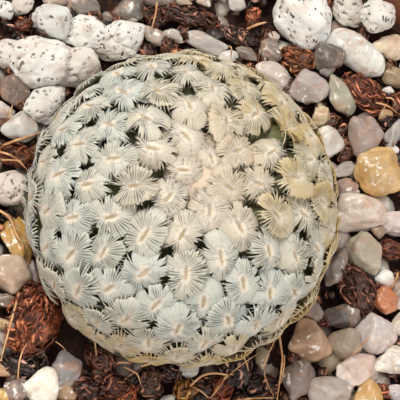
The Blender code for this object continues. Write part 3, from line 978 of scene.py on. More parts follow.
def flakes(size, count, contrast, draw):
    """Short torn flakes matted over a lump: points, faces, and each point's own shade."""
    rings, sides = 4, 3
    way = unit(draw.normal(0, 1, (count, 3)) + np.array([0, 0, 0.6]))
    heading = np.array([1.0, 0, 0]) + draw.normal(0, 0.6, (count, 3))
    heading = unit(heading - way * (heading * way).sum(axis=1, keepdims=True))
    middle = way * size / 2 * draw.uniform(0.86, 1.0, (count, 1))
    share = np.linspace(-0.5, 0.5, rings)
    length = FLAKE_LENGTH * draw.lognormal(0, 0.35, (count, 1))
    rise = draw.uniform(0.02, 0.22, (count, 1)) * MM * (1 - 8 * share**2)
    sway = draw.uniform(-0.3, 0.3, (count, 1)) * MM * (1 - 4 * share**2)
    side = np.cross(way, heading)
    lines = middle[:, None] + heading[:, None] * (length * share)[:, :, None]
    lines += way[:, None] * rise[:, :, None] + side[:, None] * sway[:, :, None]
    widths = FLAKE_WIDTH * draw.lognormal(0, 0.4, (count, 1)) * np.array([0.4, 1.0, 0.9, 0.3])
    leaning = unit(way + 0.5 * draw.normal(0, 1, (count, 3)))
    points, faces = strands(lines, widths, leaning, 0.5, sides)
    shade = draw.choice(FLAKE_SHADES, count, p=FLAKE_SHARES) ** contrast
    return points, faces, np.repeat(shade, rings * sides)


# Stones and bark that show from above: kind, place east and north of the cactus, length
# and width, all in mm, the bearing of the length in degrees, and colour.
SHOWN = (
    ("pumice", -16.5, 20.1, 8.1, 7.3, -20, "#FCFBF8"),
    ("pumice", -11.8, 20.2, 6.0, 5.5, 10, "#EEE6E0"),
    ("bark", -14.2, 16.7, 3.7, 1.6, 12, "#5E3A2C"),
    ("pumice", -15.6, 15.0, 5.8, 4.5, 55, "#F6F2EE"),
    ("pumice", -10.6, 24.5, 6.3, 4.7, -20, "#FBFAF7"),
    ("pumice", -5.8, 24.6, 6.0, 4.7, 12, "#FCFBF9"),
    ("pumice", -7.8, 22.9, 7.3, 3.4, -12, "#F4EFEA"),
    ("pumice", -15.0, 25.8, 5.5, 4.5, -5, "#E6E6E4"),
    ("pumice", -20.5, 21.2, 5.5, 3.9, 0, "#EFEAE6"),
    ("pumice", -21.3, 26.9, 2.9, 2.6, -60, "#F8F6F3"),
    ("pumice", -18.9, 27.8, 3.1, 2.6, 10, "#E2D8D0"),
    ("pumice", 18.1, 29.3, 8.9, 7.9, -28, "#FDFCFA"),
    ("pumice", 24.7, 30.9, 5.0, 4.5, -20, "#E4DED6"),
    ("bark", 26.6, 27.9, 3.4, 1.6, 75, "#7E4C34"),
    ("pumice", 29.9, 31.8, 5.4, 5.0, 10, "#ECEAE6"),
    ("quartz", -18.8, 11.6, 4.7, 4.1, 20, "#D6D4D0"),
    ("pumice", -19.6, 3.7, 5.5, 4.7, 0, "#EFE2DA"),
    ("quartz", -11.0, 28.2, 4.5, 3.1, 10, "#8F8780"),
    ("quartz", -5.4, 28.4, 4.5, 3.4, -5, "#77716A"),
    ("quartz", -7.7, 27.3, 2.0, 1.4, 0, "#7F7974"),
    ("quartz", -2.9, 25.4, 2.9, 2.1, -10, "#C0B2AA"),
    ("quartz", -1.4, 24.9, 2.6, 2.4, 0, "#BDB3AB"),
    ("quartz", 0.8, 25.5, 2.9, 2.1, -20, "#C4BBB3"),
    ("quartz", 5.1, 24.8, 6.0, 2.6, -12, "#C9C4BF"),
    ("quartz", 9.3, 30.6, 2.4, 2.1, 0, "#CFC9C3"),
    ("quartz", 4.9, 30.5, 2.1, 1.2, 0, "#D2C3B3"),
    ("quartz", 1.8, 30.3, 2.9, 1.2, 0, "#BBAA92"),
    ("bark", 2.6, 28.3, 8.6, 2.8, -13, "#6E4A40"),
    ("bark", 5.5, 28.0, 3.4, 1.8, -20, "#A8683E"),
    ("bark", 9.7, 26.0, 6.3, 2.2, -17, "#5C4038"),
    ("bark", 11.6, 29.3, 2.4, 2.0, 10, "#9C5432"),
    ("bark", 12.7, 25.2, 4.8, 0.7, 67, "#8E5C3A"),
    ("quartz", 10.5, 23.7, 3.1, 2.1, -10, "#84766F"),
    ("quartz", 13.7, 24.1, 3.7, 3.4, -30, "#8B7D75"),
    ("quartz", 25.3, 24.9, 8.9, 4.8, -38, "#E4E3DE"),
    ("quartz", 30.4, 26.2, 5.8, 3.7, -5, "#E6D2B8"),
    ("bark", 17.2, 23.4, 5.0, 4.1, -20, "#A06840"),
    ("quartz", 21.5, 23.8, 4.2, 3.9, -20, "#665B55"),
    ("quartz", 21.5, 22.2, 2.4, 1.8, 20, "#8E8883"),
    ("bark", 26.6, 19.3, 7.9, 4.1, -32, "#96583C"),
    ("quartz", 14.2, 21.1, 5.5, 2.8, -30, "#D6C7BF"),
    ("quartz", 18.8, 19.3, 4.8, 4.6, -30, "#BAADA9"),
    ("quartz", 23.1, 18.9, 6.0, 3.9, -65, "#AEAB98"),
    ("quartz", 20.5, 16.0, 3.3, 2.5, 80, "#DCCDA6"),
    ("quartz", 21.3, 12.4, 4.5, 4.2, 20, "#E6E2DA"),
    ("quartz", 26.0, 13.2, 6.0, 4.8, 88, "#A8968E"),
    ("quartz", 30.2, 14.1, 5.2, 2.1, 68, "#B2AFA9"),
    ("quartz", 30.6, 21.9, 3.4, 2.6, -30, "#A08A6C"),
    ("quartz", 29.7, 20.2, 1.7, 1.2, 0, "#E4DCD4"),
    ("quartz", 29.2, 16.8, 2.2, 1.6, 20, "#CCA87C"),
    ("amber", 27.9, 8.8, 6.8, 6.7, 10, "#D4B07A"),
    ("quartz", 21.3, 9.1, 2.4, 1.4, -5, "#8E7E74"),
    ("quartz", 23.1, 8.6, 3.5, 2.0, 32, "#ADA19B"),
    ("quartz", 23.6, 6.4, 3.1, 2.8, 20, "#9E8A80"),
    ("quartz", 24.4, 5.9, 1.8, 1.4, 10, "#BCB2AC"),
    ("quartz", 25.3, 3.1, 8.5, 5.6, -8, "#DDCCC0"),
    ("quartz", 30.4, 2.0, 5.1, 3.4, -2, "#DCCCC8"),
    ("quartz", 27.8, 0.9, 2.1, 2.0, 30, "#9E8874"),
    ("bark", 29.3, -1.6, 3.4, 3.0, 0, "#7E442C"),
    ("quartz", 25.7, -2.0, 5.2, 5.1, -20, "#B9AF9D"),
    ("quartz", 22.0, -4.1, 5.8, 3.0, 58, "#998981"),
    ("bark", 24.4, -7.0, 7.6, 4.5, -62, "#6A4030"),
    ("quartz", 28.2, -5.3, 2.5, 2.4, 0, "#F8F6F2"),
    ("quartz", 28.0, -8.3, 3.7, 3.5, 90, "#C67A4C"),
    ("quartz", 30.0, -8.5, 3.4, 1.8, -10, "#CCC0B4"),
    ("quartz", 18.5, -10.1, 3.5, 3.0, -30, "#92827C"),
    ("bark", 19.6, -11.2, 2.4, 1.8, -30, "#6E3422"),
    ("quartz", 22.4, -10.6, 5.0, 3.3, 5, "#6B5F5B"),
    ("quartz", 18.6, -14.0, 5.8, 5.2, -20, "#C8A386"),
    ("quartz", 22.6, -14.1, 4.8, 4.5, -10, "#AF9D8B"),
    ("quartz", 26.7, -12.8, 5.6, 5.0, -15, "#D8CECC"),
    ("quartz", 28.7, -15.8, 5.2, 3.7, -2, "#EDE8DC"),
    ("quartz", 24.4, -17.2, 6.3, 4.2, 15, "#E2CEC2"),
    ("quartz", 16.7, -18.8, 6.0, 4.7, 65, "#917F79"),
    ("quartz", 20.8, -20.4, 6.0, 5.0, -10, "#C8BEB8"),
    ("amber", 25.7, -20.4, 4.2, 3.9, 0, "#D9B074"),
    ("bark", 27.9, -19.8, 3.4, 1.8, -10, "#925030"),
    ("quartz", 29.4, -20.0, 3.4, 2.1, -10, "#CEC8CE"),
    ("quartz", -19.5, 16.5, 4.1, 3.9, 90, "#826C61"),
    ("quartz", -21.0, 13.6, 3.4, 2.6, -10, "#E6DAD4"),
    ("bark", -18.9, 8.1, 5.8, 3.1, -15, "#8E5634"),
    ("amber", -18.4, -2.7, 7.1, 3.8, -68, "#CCA25E"),
    ("quartz", -19.2, -7.2, 5.0, 5.0, 20, "#D3BAA4"),
    ("quartz", -16.3, -7.1, 4.1, 1.6, -80, "#A69A9A"),
    ("quartz", -19.8, -10.4, 2.9, 1.8, 0, "#84705F"),
    ("quartz", -20.3, -13.3, 3.7, 1.3, -10, "#CCA474"),
    ("bark", -16.5, -12.6, 10.5, 6.8, 68, "#9C5836"),
    ("bark", -17.5, -16.1, 4.5, 1.3, -6, "#C87C4C"),
    ("bark", -17.5, -18.0, 5.8, 3.5, 5, "#40302A"),
    ("quartz", -12.4, -18.8, 4.5, 3.9, 60, "#959090"),
    ("quartz", -15.6, -21.0, 5.5, 4.5, 80, "#F6EEDF"),
    ("quartz", -18.5, -21.3, 3.5, 3.1, 20, "#A0908A"),
    ("quartz", -20.3, -18.9, 4.7, 1.6, -2, "#D4AC8C"),
    ("amber", -20.2, -21.9, 2.4, 1.8, -30, "#E2BA6C"),
    ("quartz", -12.8, -21.2, 3.7, 2.1, -20, "#B49474"),
    ("bark", -8.2, -16.9, 4.5, 3.4, -40, "#6A3C2A"),
    ("bark", -9.7, -20.7, 3.9, 3.4, 10, "#5E3222"),
    ("bark", -6.5, -20.3, 4.2, 3.1, -10, "#6E402C"),
    ("bark", -4.7, -21.2, 3.4, 2.1, 30, "#AE6034"),
    ("bark", -2.2, -19.6, 3.9, 3.1, 75, "#7E5C4E"),
    ("bark", 0.3, -18.3, 3.4, 2.4, -10, "#522C1E"),
    ("bark", 2.4, -20.4, 2.9, 2.9, 60, "#BC8844"),
    ("bark", 5.0, -19.8, 2.9, 2.6, -30, "#5A3424"),
    ("bark", 7.2, -20.0, 3.4, 2.9, 75, "#A65634"),
    ("bark", 8.9, -17.2, 6.3, 4.3, 84, "#38241C"),
    ("bark", 11.3, -19.5, 3.1, 2.9, 20, "#4A2E22"),
    ("quartz", 12.2, -16.1, 3.1, 1.7, 80, "#ACA084"),
    ("bark", 13.2, -19.4, 2.9, 2.6, -20, "#5A3828"),
    ("bark", -14.0, 26.4, 2.9, 2.6, 30, "#7A4A30"),
    ("bark", -18.6, 25.3, 2.4, 2.1, -10, "#8A4C2A"),
    ("bark", -15.4, 10.4, 2.9, 2.1, 30, "#74482E"),
    ("bark", 29.8, 23.6, 2.6, 2.1, -10, "#6E4A32"),
)
# Where only dark fines show: middle in mm east and north of the cactus, and radius.
VOIDS = (
    (-12.9, -13.7, 2.9),
    (-11.4, -15.2, 2.1),
    (21.3, -7.6, 2.2),
    (15.4, -13.9, 2.0),
    (19.3, 17.1, 1.0),
    (-8.0, 29.6, 1.0),
    (-16.9, 27.4, 1.2),
    (23.5, 16.1, 1.2),
    (29.7, 29.9, 1.0),
    (14.3, 30.6, 1.3),
    (2.3, 25.1, 0.7),
)

# Lengths in mm past which a stone's mesh is made one step finer.
FINER_FROM = {"pumice": (2.6, 3, 7)}
FINER_FROM_USUALLY = (2.6, 6)
THICKNESS = {"pumice": 0.8, "quartz": 0.76, "amber": 0.72, "bark": 0.62}
MOST_THICKNESS = 6 * MM
LAYER_DROP = 1.9 * MM  # from the upper stones down to the ones that show between them
RIDE_UP = 0.6  # how far a stone rides up the others for how far the wall holds it back
NEAREST_FILL = 16.6 * MM  # from the cactus's middle to the nearest stones that none shows
NEAREST_LOWER, NEAREST_CRUMB = 14 * MM, 13.5 * MM
# Rounds of the random fill: its size as a share of the grit's, and how many are tried.
FILL_ROUNDS = ((1.0, 600), (0.8, 1200), (0.6, 1600), (0.42, 900))
LOWER_TRIES = 3000
# Pumice's bubbles: how many on a lump 5 mm long, and their radii in mm.
PITS, PIT_RADII = 44, (0.08, 0.28)
CRUMB_SIZES = (0.9, 2.6)  # in mm
CRUMB_SHAPE = np.array([1, 0.8, 0.7])
CRUMB_TINTS = ("#5A3828", "#3C2218", "#74503A", "#8A6248")
TINTS = {
    "quartz": (
        "#DCD0C6", "#CDB9AC", "#B9A79F", "#E6E0D8", "#A8988E", "#D8C3A6", "#C7B7B0", "#E9E5DF", "#8F857D",
    ),
    "bark": ("#84543C", "#6A4230", "#976448", "#553426"),
    "pumice": ("#EDEAE4", "#E2DCD4"),
}
# How a random stone's kind is drawn, among the larger ones and among the small ones.
KINDS = ("quartz", "pumice", "bark")
LARGE_KINDS, SMALL_KINDS = (0.66, 0.14, 0.2), (0.4, 0.06, 0.54)

# One stone or lump of bark, with how fine its mesh is and how far it lies over the bed.
Stone = namedtuple("Stone", "kind x y length width bearing tint fine lift")


def in_void(x, y, radius):
    """Whether a lump of this radius would reach into a void."""
    east, north = x - BALL_CENTRE.x, y - BALL_CENTRE.y
    return any(math.hypot(east - e * MM, north - n * MM) < r * MM + radius for e, n, r in VOIDS)


def from_plant(x, y):
    """How far a place is from the cactus's middle, seen from above."""
    return math.hypot(x - BALL_CENTRE.x, y - BALL_CENTRE.y)


def shown_stones():
    """The stones that show. Where one would cross the wall, it is drawn in and rides up."""
    made = []
    for kind, east, north, length, width, bearing, tint in SHOWN:
        x, y = BALL_CENTRE.x + east * MM, BALL_CENTRE.y + north * MM
        length, width = length * MM, width * MM
        drawn_in = min(1, (FILL_RADIUS - 0.54 * length) / math.hypot(x, y))
        held_back = (1 - drawn_in) * math.hypot(x, y)
        lift = 0.16 * min(THICKNESS[kind] * width, MOST_THICKNESS) + RIDE_UP * held_back
        fine = 3 + sum(length > least * MM for least in FINER_FROM.get(kind, FINER_FROM_USUALLY))
        turn = math.radians(bearing)
        made.append(Stone(kind, x * drawn_in, y * drawn_in, length, width, turn, tint, fine, lift))
    return made


def thrown(size, draw):
    """A random place for a stone of this size inside the wall, and its bearing."""
    far = (FILL_RADIUS - 0.55 * size) * math.sqrt(draw.uniform(0.05, 1))
    turn, bearing = draw.uniform(0, 2 * math.pi), draw.uniform(0, math.pi)
    return far * math.cos(turn), far * math.sin(turn), bearing


def all_stones(settings):
    """The stones that show, a random fill around them, and a lower layer."""
    upper, lower = shown_stones(), []
    draw = np.random.default_rng(23)
    for share, tries in FILL_ROUNDS:
        chances = SMALL_KINDS if share < 0.7 else LARGE_KINDS
        for _ in range(tries):
            size = settings.grit_size * share * draw.uniform(0.85, 1.12)
            x, y, bearing = thrown(size, draw)
            kind = draw.choice(KINDS, p=chances)
            if from_plant(x, y) < NEAREST_FILL + 0.3 * size or in_void(x, y, size / 2):
                continue
            if any(math.hypot(x - s.x, y - s.y) < 0.4 * (size + (s.length + s.width) / 2) for s in upper):
                continue
            tint = str(draw.choice(TINTS[kind]))
            fine = 4 if kind == "pumice" else 3
            upper.append(Stone(kind, x, y, size, 0.82 * size, bearing, tint, fine, 0.0))
    covers = np.array([(stone.x, stone.y, stone.length) for stone in upper])
    for _ in range(LOWER_TRIES):
        size = settings.grit_size * draw.uniform(0.65, 0.95)
        x, y, bearing = thrown(size, draw)
        covered = np.hypot(covers[:, 0] - x, covers[:, 1] - y) < 0.42 * covers[:, 2]
        if covered.any() or from_plant(x, y) < NEAREST_LOWER + size / 2 or in_void(x, y, size / 2):
            continue
        if any(math.hypot(x - s.x, y - s.y) < 0.8 * size for s in lower):
            continue
        kind = "quartz" if draw.random() < 0.8 else "bark"
        tint = str(draw.choice(TINTS[kind]))
        lower.append(Stone(kind, x, y, size, 0.85 * size, bearing, tint, 2, -LAYER_DROP))
    return upper + lower


def pitted(shape, length, draw):
    """Sinks the burst bubbles of pumice into a shape about two across.

    Returns the shape, and how deep in a bubble each of its points is, 0 to 1.
    """
    pits = int(PITS * (length / (5 * MM)) ** 2)
    middles = unit(draw.normal(0, 1, (pits, 3)))
    long_way = unit(np.cross(middles, unit(draw.normal(0, 1, 3))))
    size = draw.uniform(*PIT_RADII, pits) * MM / (length / 2)
    ways = unit(shape)
    near = ways @ middles.T
    along = ways @ long_way.T
    across = np.sqrt(np.clip(1 - near**2 - along**2, 0, 1))
    apart = np.sqrt((along / 1.7) ** 2 + across**2) / size
    depth = np.where(near > 0, np.clip(1 - apart**2, 0, 1), 0).max(axis=1)
    return shape * (1 - 1.3 * size.mean() * depth)[:, None], depth


def pumice_shape(ways, length, seed, draw):
    """A lump of pumice, lumpy, cracked and pitted, with its cracks stained and its pits darkened as
    painted shade.
    """
    shape = worn_block(ways, 12, 6, draw)
    lumps = noise_at(shape, 0.62, 3, seed)
    cracks = np.clip(1 - 6 * np.abs(noise_at(shape, 1.2, 2, seed + 0.5)), 0, 1)
    cracks *= np.clip(3 * noise_at(shape, 1.1, 1, seed + 0.3) + 0.4, 0, 1)
    shape *= (1 + 0.12 * lumps - 0.05 * cracks)[:, None]
    shape, holes = pitted(shape, length, draw)
    stain = np.clip(0.8 * cracks - 0.3, 0, 1)
    shade = 1 - stain[:, None] * np.array([0.6, 0.74, 0.82])
    # painted shade: points deep in a bubble are darkened
    return shape, shade * (1 - 0.85 * np.clip(1.6 * holes - 0.4, 0, 1)[:, None])


def pebble_shape(ways, seed, draw):
    """A pebble of quartz, worn but still faceted, and paler round its edge: painted light, as if let
    through where it is thin.
    """
    shape = worn_block(ways, int(draw.integers(9, 14)), draw.uniform(5, 10), draw)
    shape *= (1 + 0.17 * noise_at(shape, 1.1, 2, seed))[:, None]
    shape *= (1 + 0.05 * noise_at(shape, 0.35, 2, seed + 0.5))[:, None]
    # painted light: paler where the pebble is thin round its edge, as if light shone through
    return shape, 0.96 + 0.4 * (1 - np.abs(ways[:, 2])) ** 2


def bark_shape(ways, seed, draw):
    """A torn lump of bark, cragged along its length."""
    shape = worn_block(ways, 8, 10, draw)
    return shape * (1 + 0.3 * noise_at(shape * np.array([0.6, 1.4, 1.4]), 0.8, 3, seed))[:, None]


def lay_bark(heap, shape, faces, size, place, tint, crowding, draw):
    """Lays one lump of bark: a ridged core with flakes matted over it, so many a square mm.

    The core is painted darker in its hollows and paler on its ridges, as painted shade and painted
    highlight. The darker the lump is, the more its flakes differ.
    """
    colour = linear(tint)
    contrast = 2.2 - min(1.3, 9 * colour[0])
    core = fitted(shape, 0.94 * size)
    grain = core * np.array([0.4, 1.0, 1.0])
    ridge = 1 - 2.4 * np.abs(noise_at(grain, 0.42 * MM, 3, size[0] / MM))
    core *= (1 + 0.13 * (ridge - 0.5))[:, None]
    # painted shade in the grain's hollows and painted highlight on its ridges
    shade = np.clip(0.25 + 1.1 * np.clip(ridge, 0, 1) ** 1.5, 0.2, 1.35) ** contrast
    heap.lay(kept_clear(moved(core, place)), faces, colour, shade)
    count = round(crowding * size[0] * size[1] / MM**2)
    points, faces, shade = flakes(size, count, contrast, draw)
    heap.lay(kept_clear(moved(points, place)), faces, colour, shade)


SEEDS = {"pumice": 5, "quartz": 6, "amber": 7, "bark": 8}


def lay_stones(kind, name, paint, settings):
    """All stones of one kind as one piece, each shaped the way that its stuff breaks or wears."""
    heap = Heap()
    draw = np.random.default_rng(SEEDS[kind])
    for index, stone in enumerate(all_stones(settings)):
        if stone.kind != kind:
            continue
        ways, faces = sphere(stone.fine)
        if kind == "pumice":
            shape, shade = pumice_shape(ways, stone.length, index, draw)
        elif kind == "bark":
            shape = bark_shape(ways, index, draw)
        else:
            shape, shade = pebble_shape(ways, index, draw)
        thickness = min(THICKNESS[kind] * stone.width, MOST_THICKNESS)
        size = np.array([stone.length, stone.width, thickness])
        place = seat(stone.x, stone.y, stone.bearing, stone.lift, draw)
        if kind == "bark":
            crowding = 3.6 if stone.fine > 3 else 2.4
            lay_bark(heap, shape, faces, size, place, stone.tint, crowding, draw)
        else:
            spots = kept_clear(moved(fitted(shape, size), place))
            heap.lay(spots, faces, linear(stone.tint), shade)
    piece(name, heap.points(), heap.faces, paint, "stones", "gravel", heap.attributes())


def tumbled_pumice(tree, settings):
    """Pumice, a frozen volcanic froth, broken and tumbled: chalky, matt, full of burst bubbles painted
    dark inside as shade.
    """
    place = add(tree, "TexCoord", name="where").outputs["Object"]
    tint = add(tree, "Attribute", attribute_name="tint")
    cloud = add(tree, "TexNoise", {"Scale": 1 / (2.5 * MM), "Detail": 4.0})
    haze = add(tree, "ValToRGB", (cloud,), ((0.3, grey(0)), (0.52, grey(1))))
    shade = add(tree, "Mix", (haze, linear("#DCD2CC"), settings.pumice), data_type="RGBA")
    tinted = add(tree, "Mix", (1.0, shade, tint), data_type="RGBA", blend_type="MULTIPLY")
    warp = add(tree, "TexNoise", {"Scale": 1 / (3 * MM)}).outputs["Color"]
    swirled = add(tree, "Mix", (0.004, place, warp), data_type="VECTOR")
    stretched = add(tree, "Mapping", {"Vector": swirled, "Scale": (1, 0.5, 0.8)})
    bubble = add(tree, "TexVoronoi", {"Vector": stretched, "Scale": 1 / (0.75 * MM)})
    few = add(tree, "TexNoise", {"Scale": 1 / (1.6 * MM), "Detail": 1.0})
    burst = add(tree, "Math", (few, 0.5, bubble), operation="MULTIPLY_ADD")
    pit = add(tree, "ValToRGB", (burst,), ((0.36, grey(0)), (0.43, grey(1))))
    pores = add(tree, "TexNoise", {"Scale": 1 / (0.3 * MM), "Detail": 5.0, "Roughness": 0.7})
    height = add(tree, "Math", (pores, 0.6, pit), operation="MULTIPLY_ADD")
    return {
        # painted shade: the burst bubbles are coloured dark grey-brown
        "Base Color": add(tree, "Mix", (pit, linear("#6A5E58"), tinted), data_type="RGBA"),
        "Normal": add(tree, "Bump", {"Height": height, "Strength": 0.9, "Distance": 0.2 * MM}),
        "Roughness": 0.92,
    }


def worn_quartz(tree, stain, roughness):
    """Quartz gravel, worn in water: milky and translucent, waxy, with clouds and rusty seams."""
    tint = add(tree, "Attribute", attribute_name="tint")
    cloud = add(tree, "TexNoise", {"Scale": 1 / (1.3 * MM), "Detail": 4.0, "Distortion": 0.5})
    milk = add(tree, "ValToRGB", (cloud,), ((0.36, grey(0.74)), (0.62, grey(0.9))))
    milky = add(tree, "Mix", (1.0, tint, milk), data_type="RGBA", blend_type="MULTIPLY")
    seam = add(tree, "TexNoise", {"Scale": 1 / (3.2 * MM), "Detail": 6.0, "Distortion": 1.4})
    rust = add(tree, "ValToRGB", (seam,), ((0.5, grey(0)), (0.68, grey(0.6))))
    rusty = add(tree, "Mix", (rust, milky, stain), data_type="RGBA")
    flaw = add(tree, "TexNoise", {"Scale": 1 / (2.1 * MM), "Detail": 3.0, "Distortion": 0.5})
    lines = ((0.47, grey(0)), (0.5, grey(0.16)), (0.53, grey(0)))
    crack = add(tree, "ValToRGB", (flaw,), lines)
    flawed = add(tree, "Mix", (crack, rusty, linear("#F4EEE8")), data_type="RGBA")
    glass = add(tree, "TexNoise", {"Scale": 1 / (7 * MM), "Detail": 0.0})
    chip = add(tree, "TexNoise", {"Scale": 1 / (0.8 * MM), "Detail": 1.0, "Distortion": 0.4})
    clear = add(tree, "ValToRGB", (glass,), ((0.55, grey(0)), (0.6, grey(0.8))))
    bright = add(tree, "ValToRGB", (chip,), ((0.6, grey(0)), (0.68, grey(1))))
    fleck = add(tree, "Math", (clear, bright), operation="MULTIPLY")
    grain = add(tree, "TexNoise", {"Scale": 1 / (0.7 * MM), "Detail": 2.0})
    return {
        "Base Color": add(tree, "Mix", (fleck, flawed, linear("#FBF8F2")), data_type="RGBA"),
        "Normal": add(tree, "Bump", {"Height": grain, "Strength": 0.4, "Distance": 0.15 * MM}),
        "Roughness": roughness,
        "IOR": 1.54,
        "Subsurface Weight": 0.45,
        "Subsurface Radius": (1.0, 0.8, 0.65),
        "Subsurface Scale": 1.0 * MM,
        "Coat Weight": 0.3,
        "Coat Roughness": 0.18,
    }


def shredded_bark(tree):
    """Pine bark, shredded and composted: flaky, red-brown, with a dull gloss on torn edges."""
    tint = add(tree, "Attribute", attribute_name="tint")
    along = add(tree, "Mapping", {"Scale": (1, 2.4, 1.6)})
    scale = 1 / (1.1 * MM)
    fibre = add(tree, "TexNoise", {"Vector": along, "Scale": scale, "Detail": 6.0, "Roughness": 0.7})
    colours = ((0.34, linear("#8A7468")), (0.52, linear("#D8C0B0")), (0.66, linear("#FFF0E4")))
    shade = add(tree, "ValToRGB", (fibre,), colours)
    return {
        "Base Color": add(tree, "Mix", (1.0, tint, shade), data_type="RGBA", blend_type="MULTIPLY"),
        "Normal": add(tree, "Bump", {"Height": fibre, "Strength": 0.7, "Distance": 0.2 * MM}),
        "Roughness": 0.38,
        "Coat Weight": 0.25,
        "Coat Roughness": 0.2,
    }


class MAMMILLARIA_OT_pumice(bpy.types.Operator):
    """Lay the pumice lumps with their burst bubbles"""

    bl_idname = "mammillaria.pumice"
    bl_label = "Pumice"

    def execute(self, context):
        settings = context.scene.mammillaria_grit
        paint = material("pumice, tumbled", tumbled_pumice, settings)
        lay_stones("pumice", "pumice", paint, settings)
        return {"FINISHED"}


class MAMMILLARIA_OT_quartz(bpy.types.Operator):
    """Lay the quartz grit, and the amber stones among it"""

    bl_idname = "mammillaria.quartz"
    bl_label = "Quartz and Amber"

    def execute(self, context):
        for kind, stain, roughness in (("quartz", "#B08A70", 0.4), ("amber", "#D2A040", 0.34)):
            paint = material(f"{kind} gravel, waterworn", worn_quartz, linear(stain), roughness)
            lay_stones(kind, f"{kind}_grit", paint, context.scene.mammillaria_grit)
        return {"FINISHED"}


class MAMMILLARIA_OT_bark(bpy.types.Operator):
    """Lay the shredded bark"""

    bl_idname = "mammillaria.bark"
    bl_label = "Bark"

    def execute(self, context):
        paint = material("pine bark, shredded", shredded_bark)
        lay_stones("bark", "bark_chips", paint, context.scene.mammillaria_grit)
        return {"FINISHED"}


def loose_peat(tree, settings):
    """Peat and fine composted bark, loose and dry: dark, crumbly and quite matt. Its near-black is partly
    painted shade, for the deep gaps between the stones where the bed shows.
    """
    crumb = add(tree, "TexNoise", {"Scale": 1 / (0.8 * MM), "Detail": 6.0, "Roughness": 0.75})
    # partly painted shade: the darkest stop is near black for the shadowed gaps; the mid-brown is the
    # peat's own
    colours = ((0.35, linear("#160B07")), (0.58, settings.peat), (0.74, linear("#8A5636")))
    return {
        "Base Color": add(tree, "ValToRGB", (crumb,), colours),
        "Normal": add(tree, "Bump", {"Height": crumb, "Strength": 1.0, "Distance": 0.3 * MM}),
        "Roughness": 0.95,
    }


def peat_bed():
    """Points and faces of the crumbly bed, a ring round the flesh from the mix up to the stones."""
    columns, rows = 264, 46
    turn = turns_round(columns)
    plant = np.array([BALL_CENTRE.x, BALL_CENTRE.y, 0])

    def round_plant(height):
        """The flesh's outline at a height, which the bed lies against."""
        squared = 1 - ((height - BALL_CENTRE.z) / ROUND_FLESH[2]) ** 2
        return ring(ROUND_FLESH[0] * math.sqrt(max(0.02, squared)), height, turn) + plant

    low = MIX_TOP + PLANT_GAP
    inner, outer = round_plant(BED_TOP), ring(FILL_RADIUS, low, turn)
    top = np.concatenate([(1 - share) * inner + share * outer for share in np.linspace(0, 1, rows)])
    top[:, 2] = bed_height(top[:, 0], top[:, 1])
    top[:, 2] += 0.7 * MM * noise_at(top, 1.9 * MM, 4) - FINES_DROP
    bed = np.concatenate([top, outer, round_plant(low)])
    return bed, lathe(rows + 2, columns, ends_closed=False)


def crumb_heap(settings):
    """Crumbs of bark, each a worn block under flakes, in the gaps that the stones leave."""
    heap = Heap()
    draw = np.random.default_rng(31)
    ways, triangles = sphere(2)
    stones = np.array([(s.x, s.y, (s.length + s.width) / 4) for s in all_stones(settings)])
    crumbs = 0
    while crumbs < settings.crumbs:
        far = (FILL_RADIUS - 1.5 * MM) * math.sqrt(draw.random())
        bearing = draw.uniform(0, 2 * math.pi)
        x, y = far * math.cos(bearing), far * math.sin(bearing)
        if from_plant(x, y) < NEAREST_CRUMB or (in_void(x, y, 0) and draw.random() < 0.85):
            continue
        if (np.hypot(stones[:, 0] - x, stones[:, 1] - y) < 0.85 * stones[:, 2]).any():
            continue
        size = draw.uniform(*CRUMB_SIZES) * MM * CRUMB_SHAPE
        place = seat(x, y, bearing, 0.2 * size[0] - 0.4 * MM, draw)
        shape = worn_block(ways, 7, 8, draw) * draw.uniform(0.8, 1.2, (len(ways), 1))
        lay_bark(heap, shape, triangles, size, place, str(draw.choice(CRUMB_TINTS)), 3, draw)
        crumbs += 1
    return heap


class MAMMILLARIA_OT_peat(bpy.types.Operator):
    """Spread the bed of fines between the stones, and the crumbs lying on it"""

    bl_idname = "mammillaria.peat"
    bl_label = "Peat and Fines"

    def execute(self, context):
        settings = context.scene.mammillaria_grit
        peat = material("peat, crumbled", loose_peat, settings)
        piece("peat_bed", *peat_bed(), peat, "stones", "gravel")
        heap = crumb_heap(settings)
        bark = material("pine bark, shredded", shredded_bark)
        piece("bark_crumbs", heap.points(), heap.faces, bark, "stones", "gravel", heap.attributes())
        return {"FINISHED"}


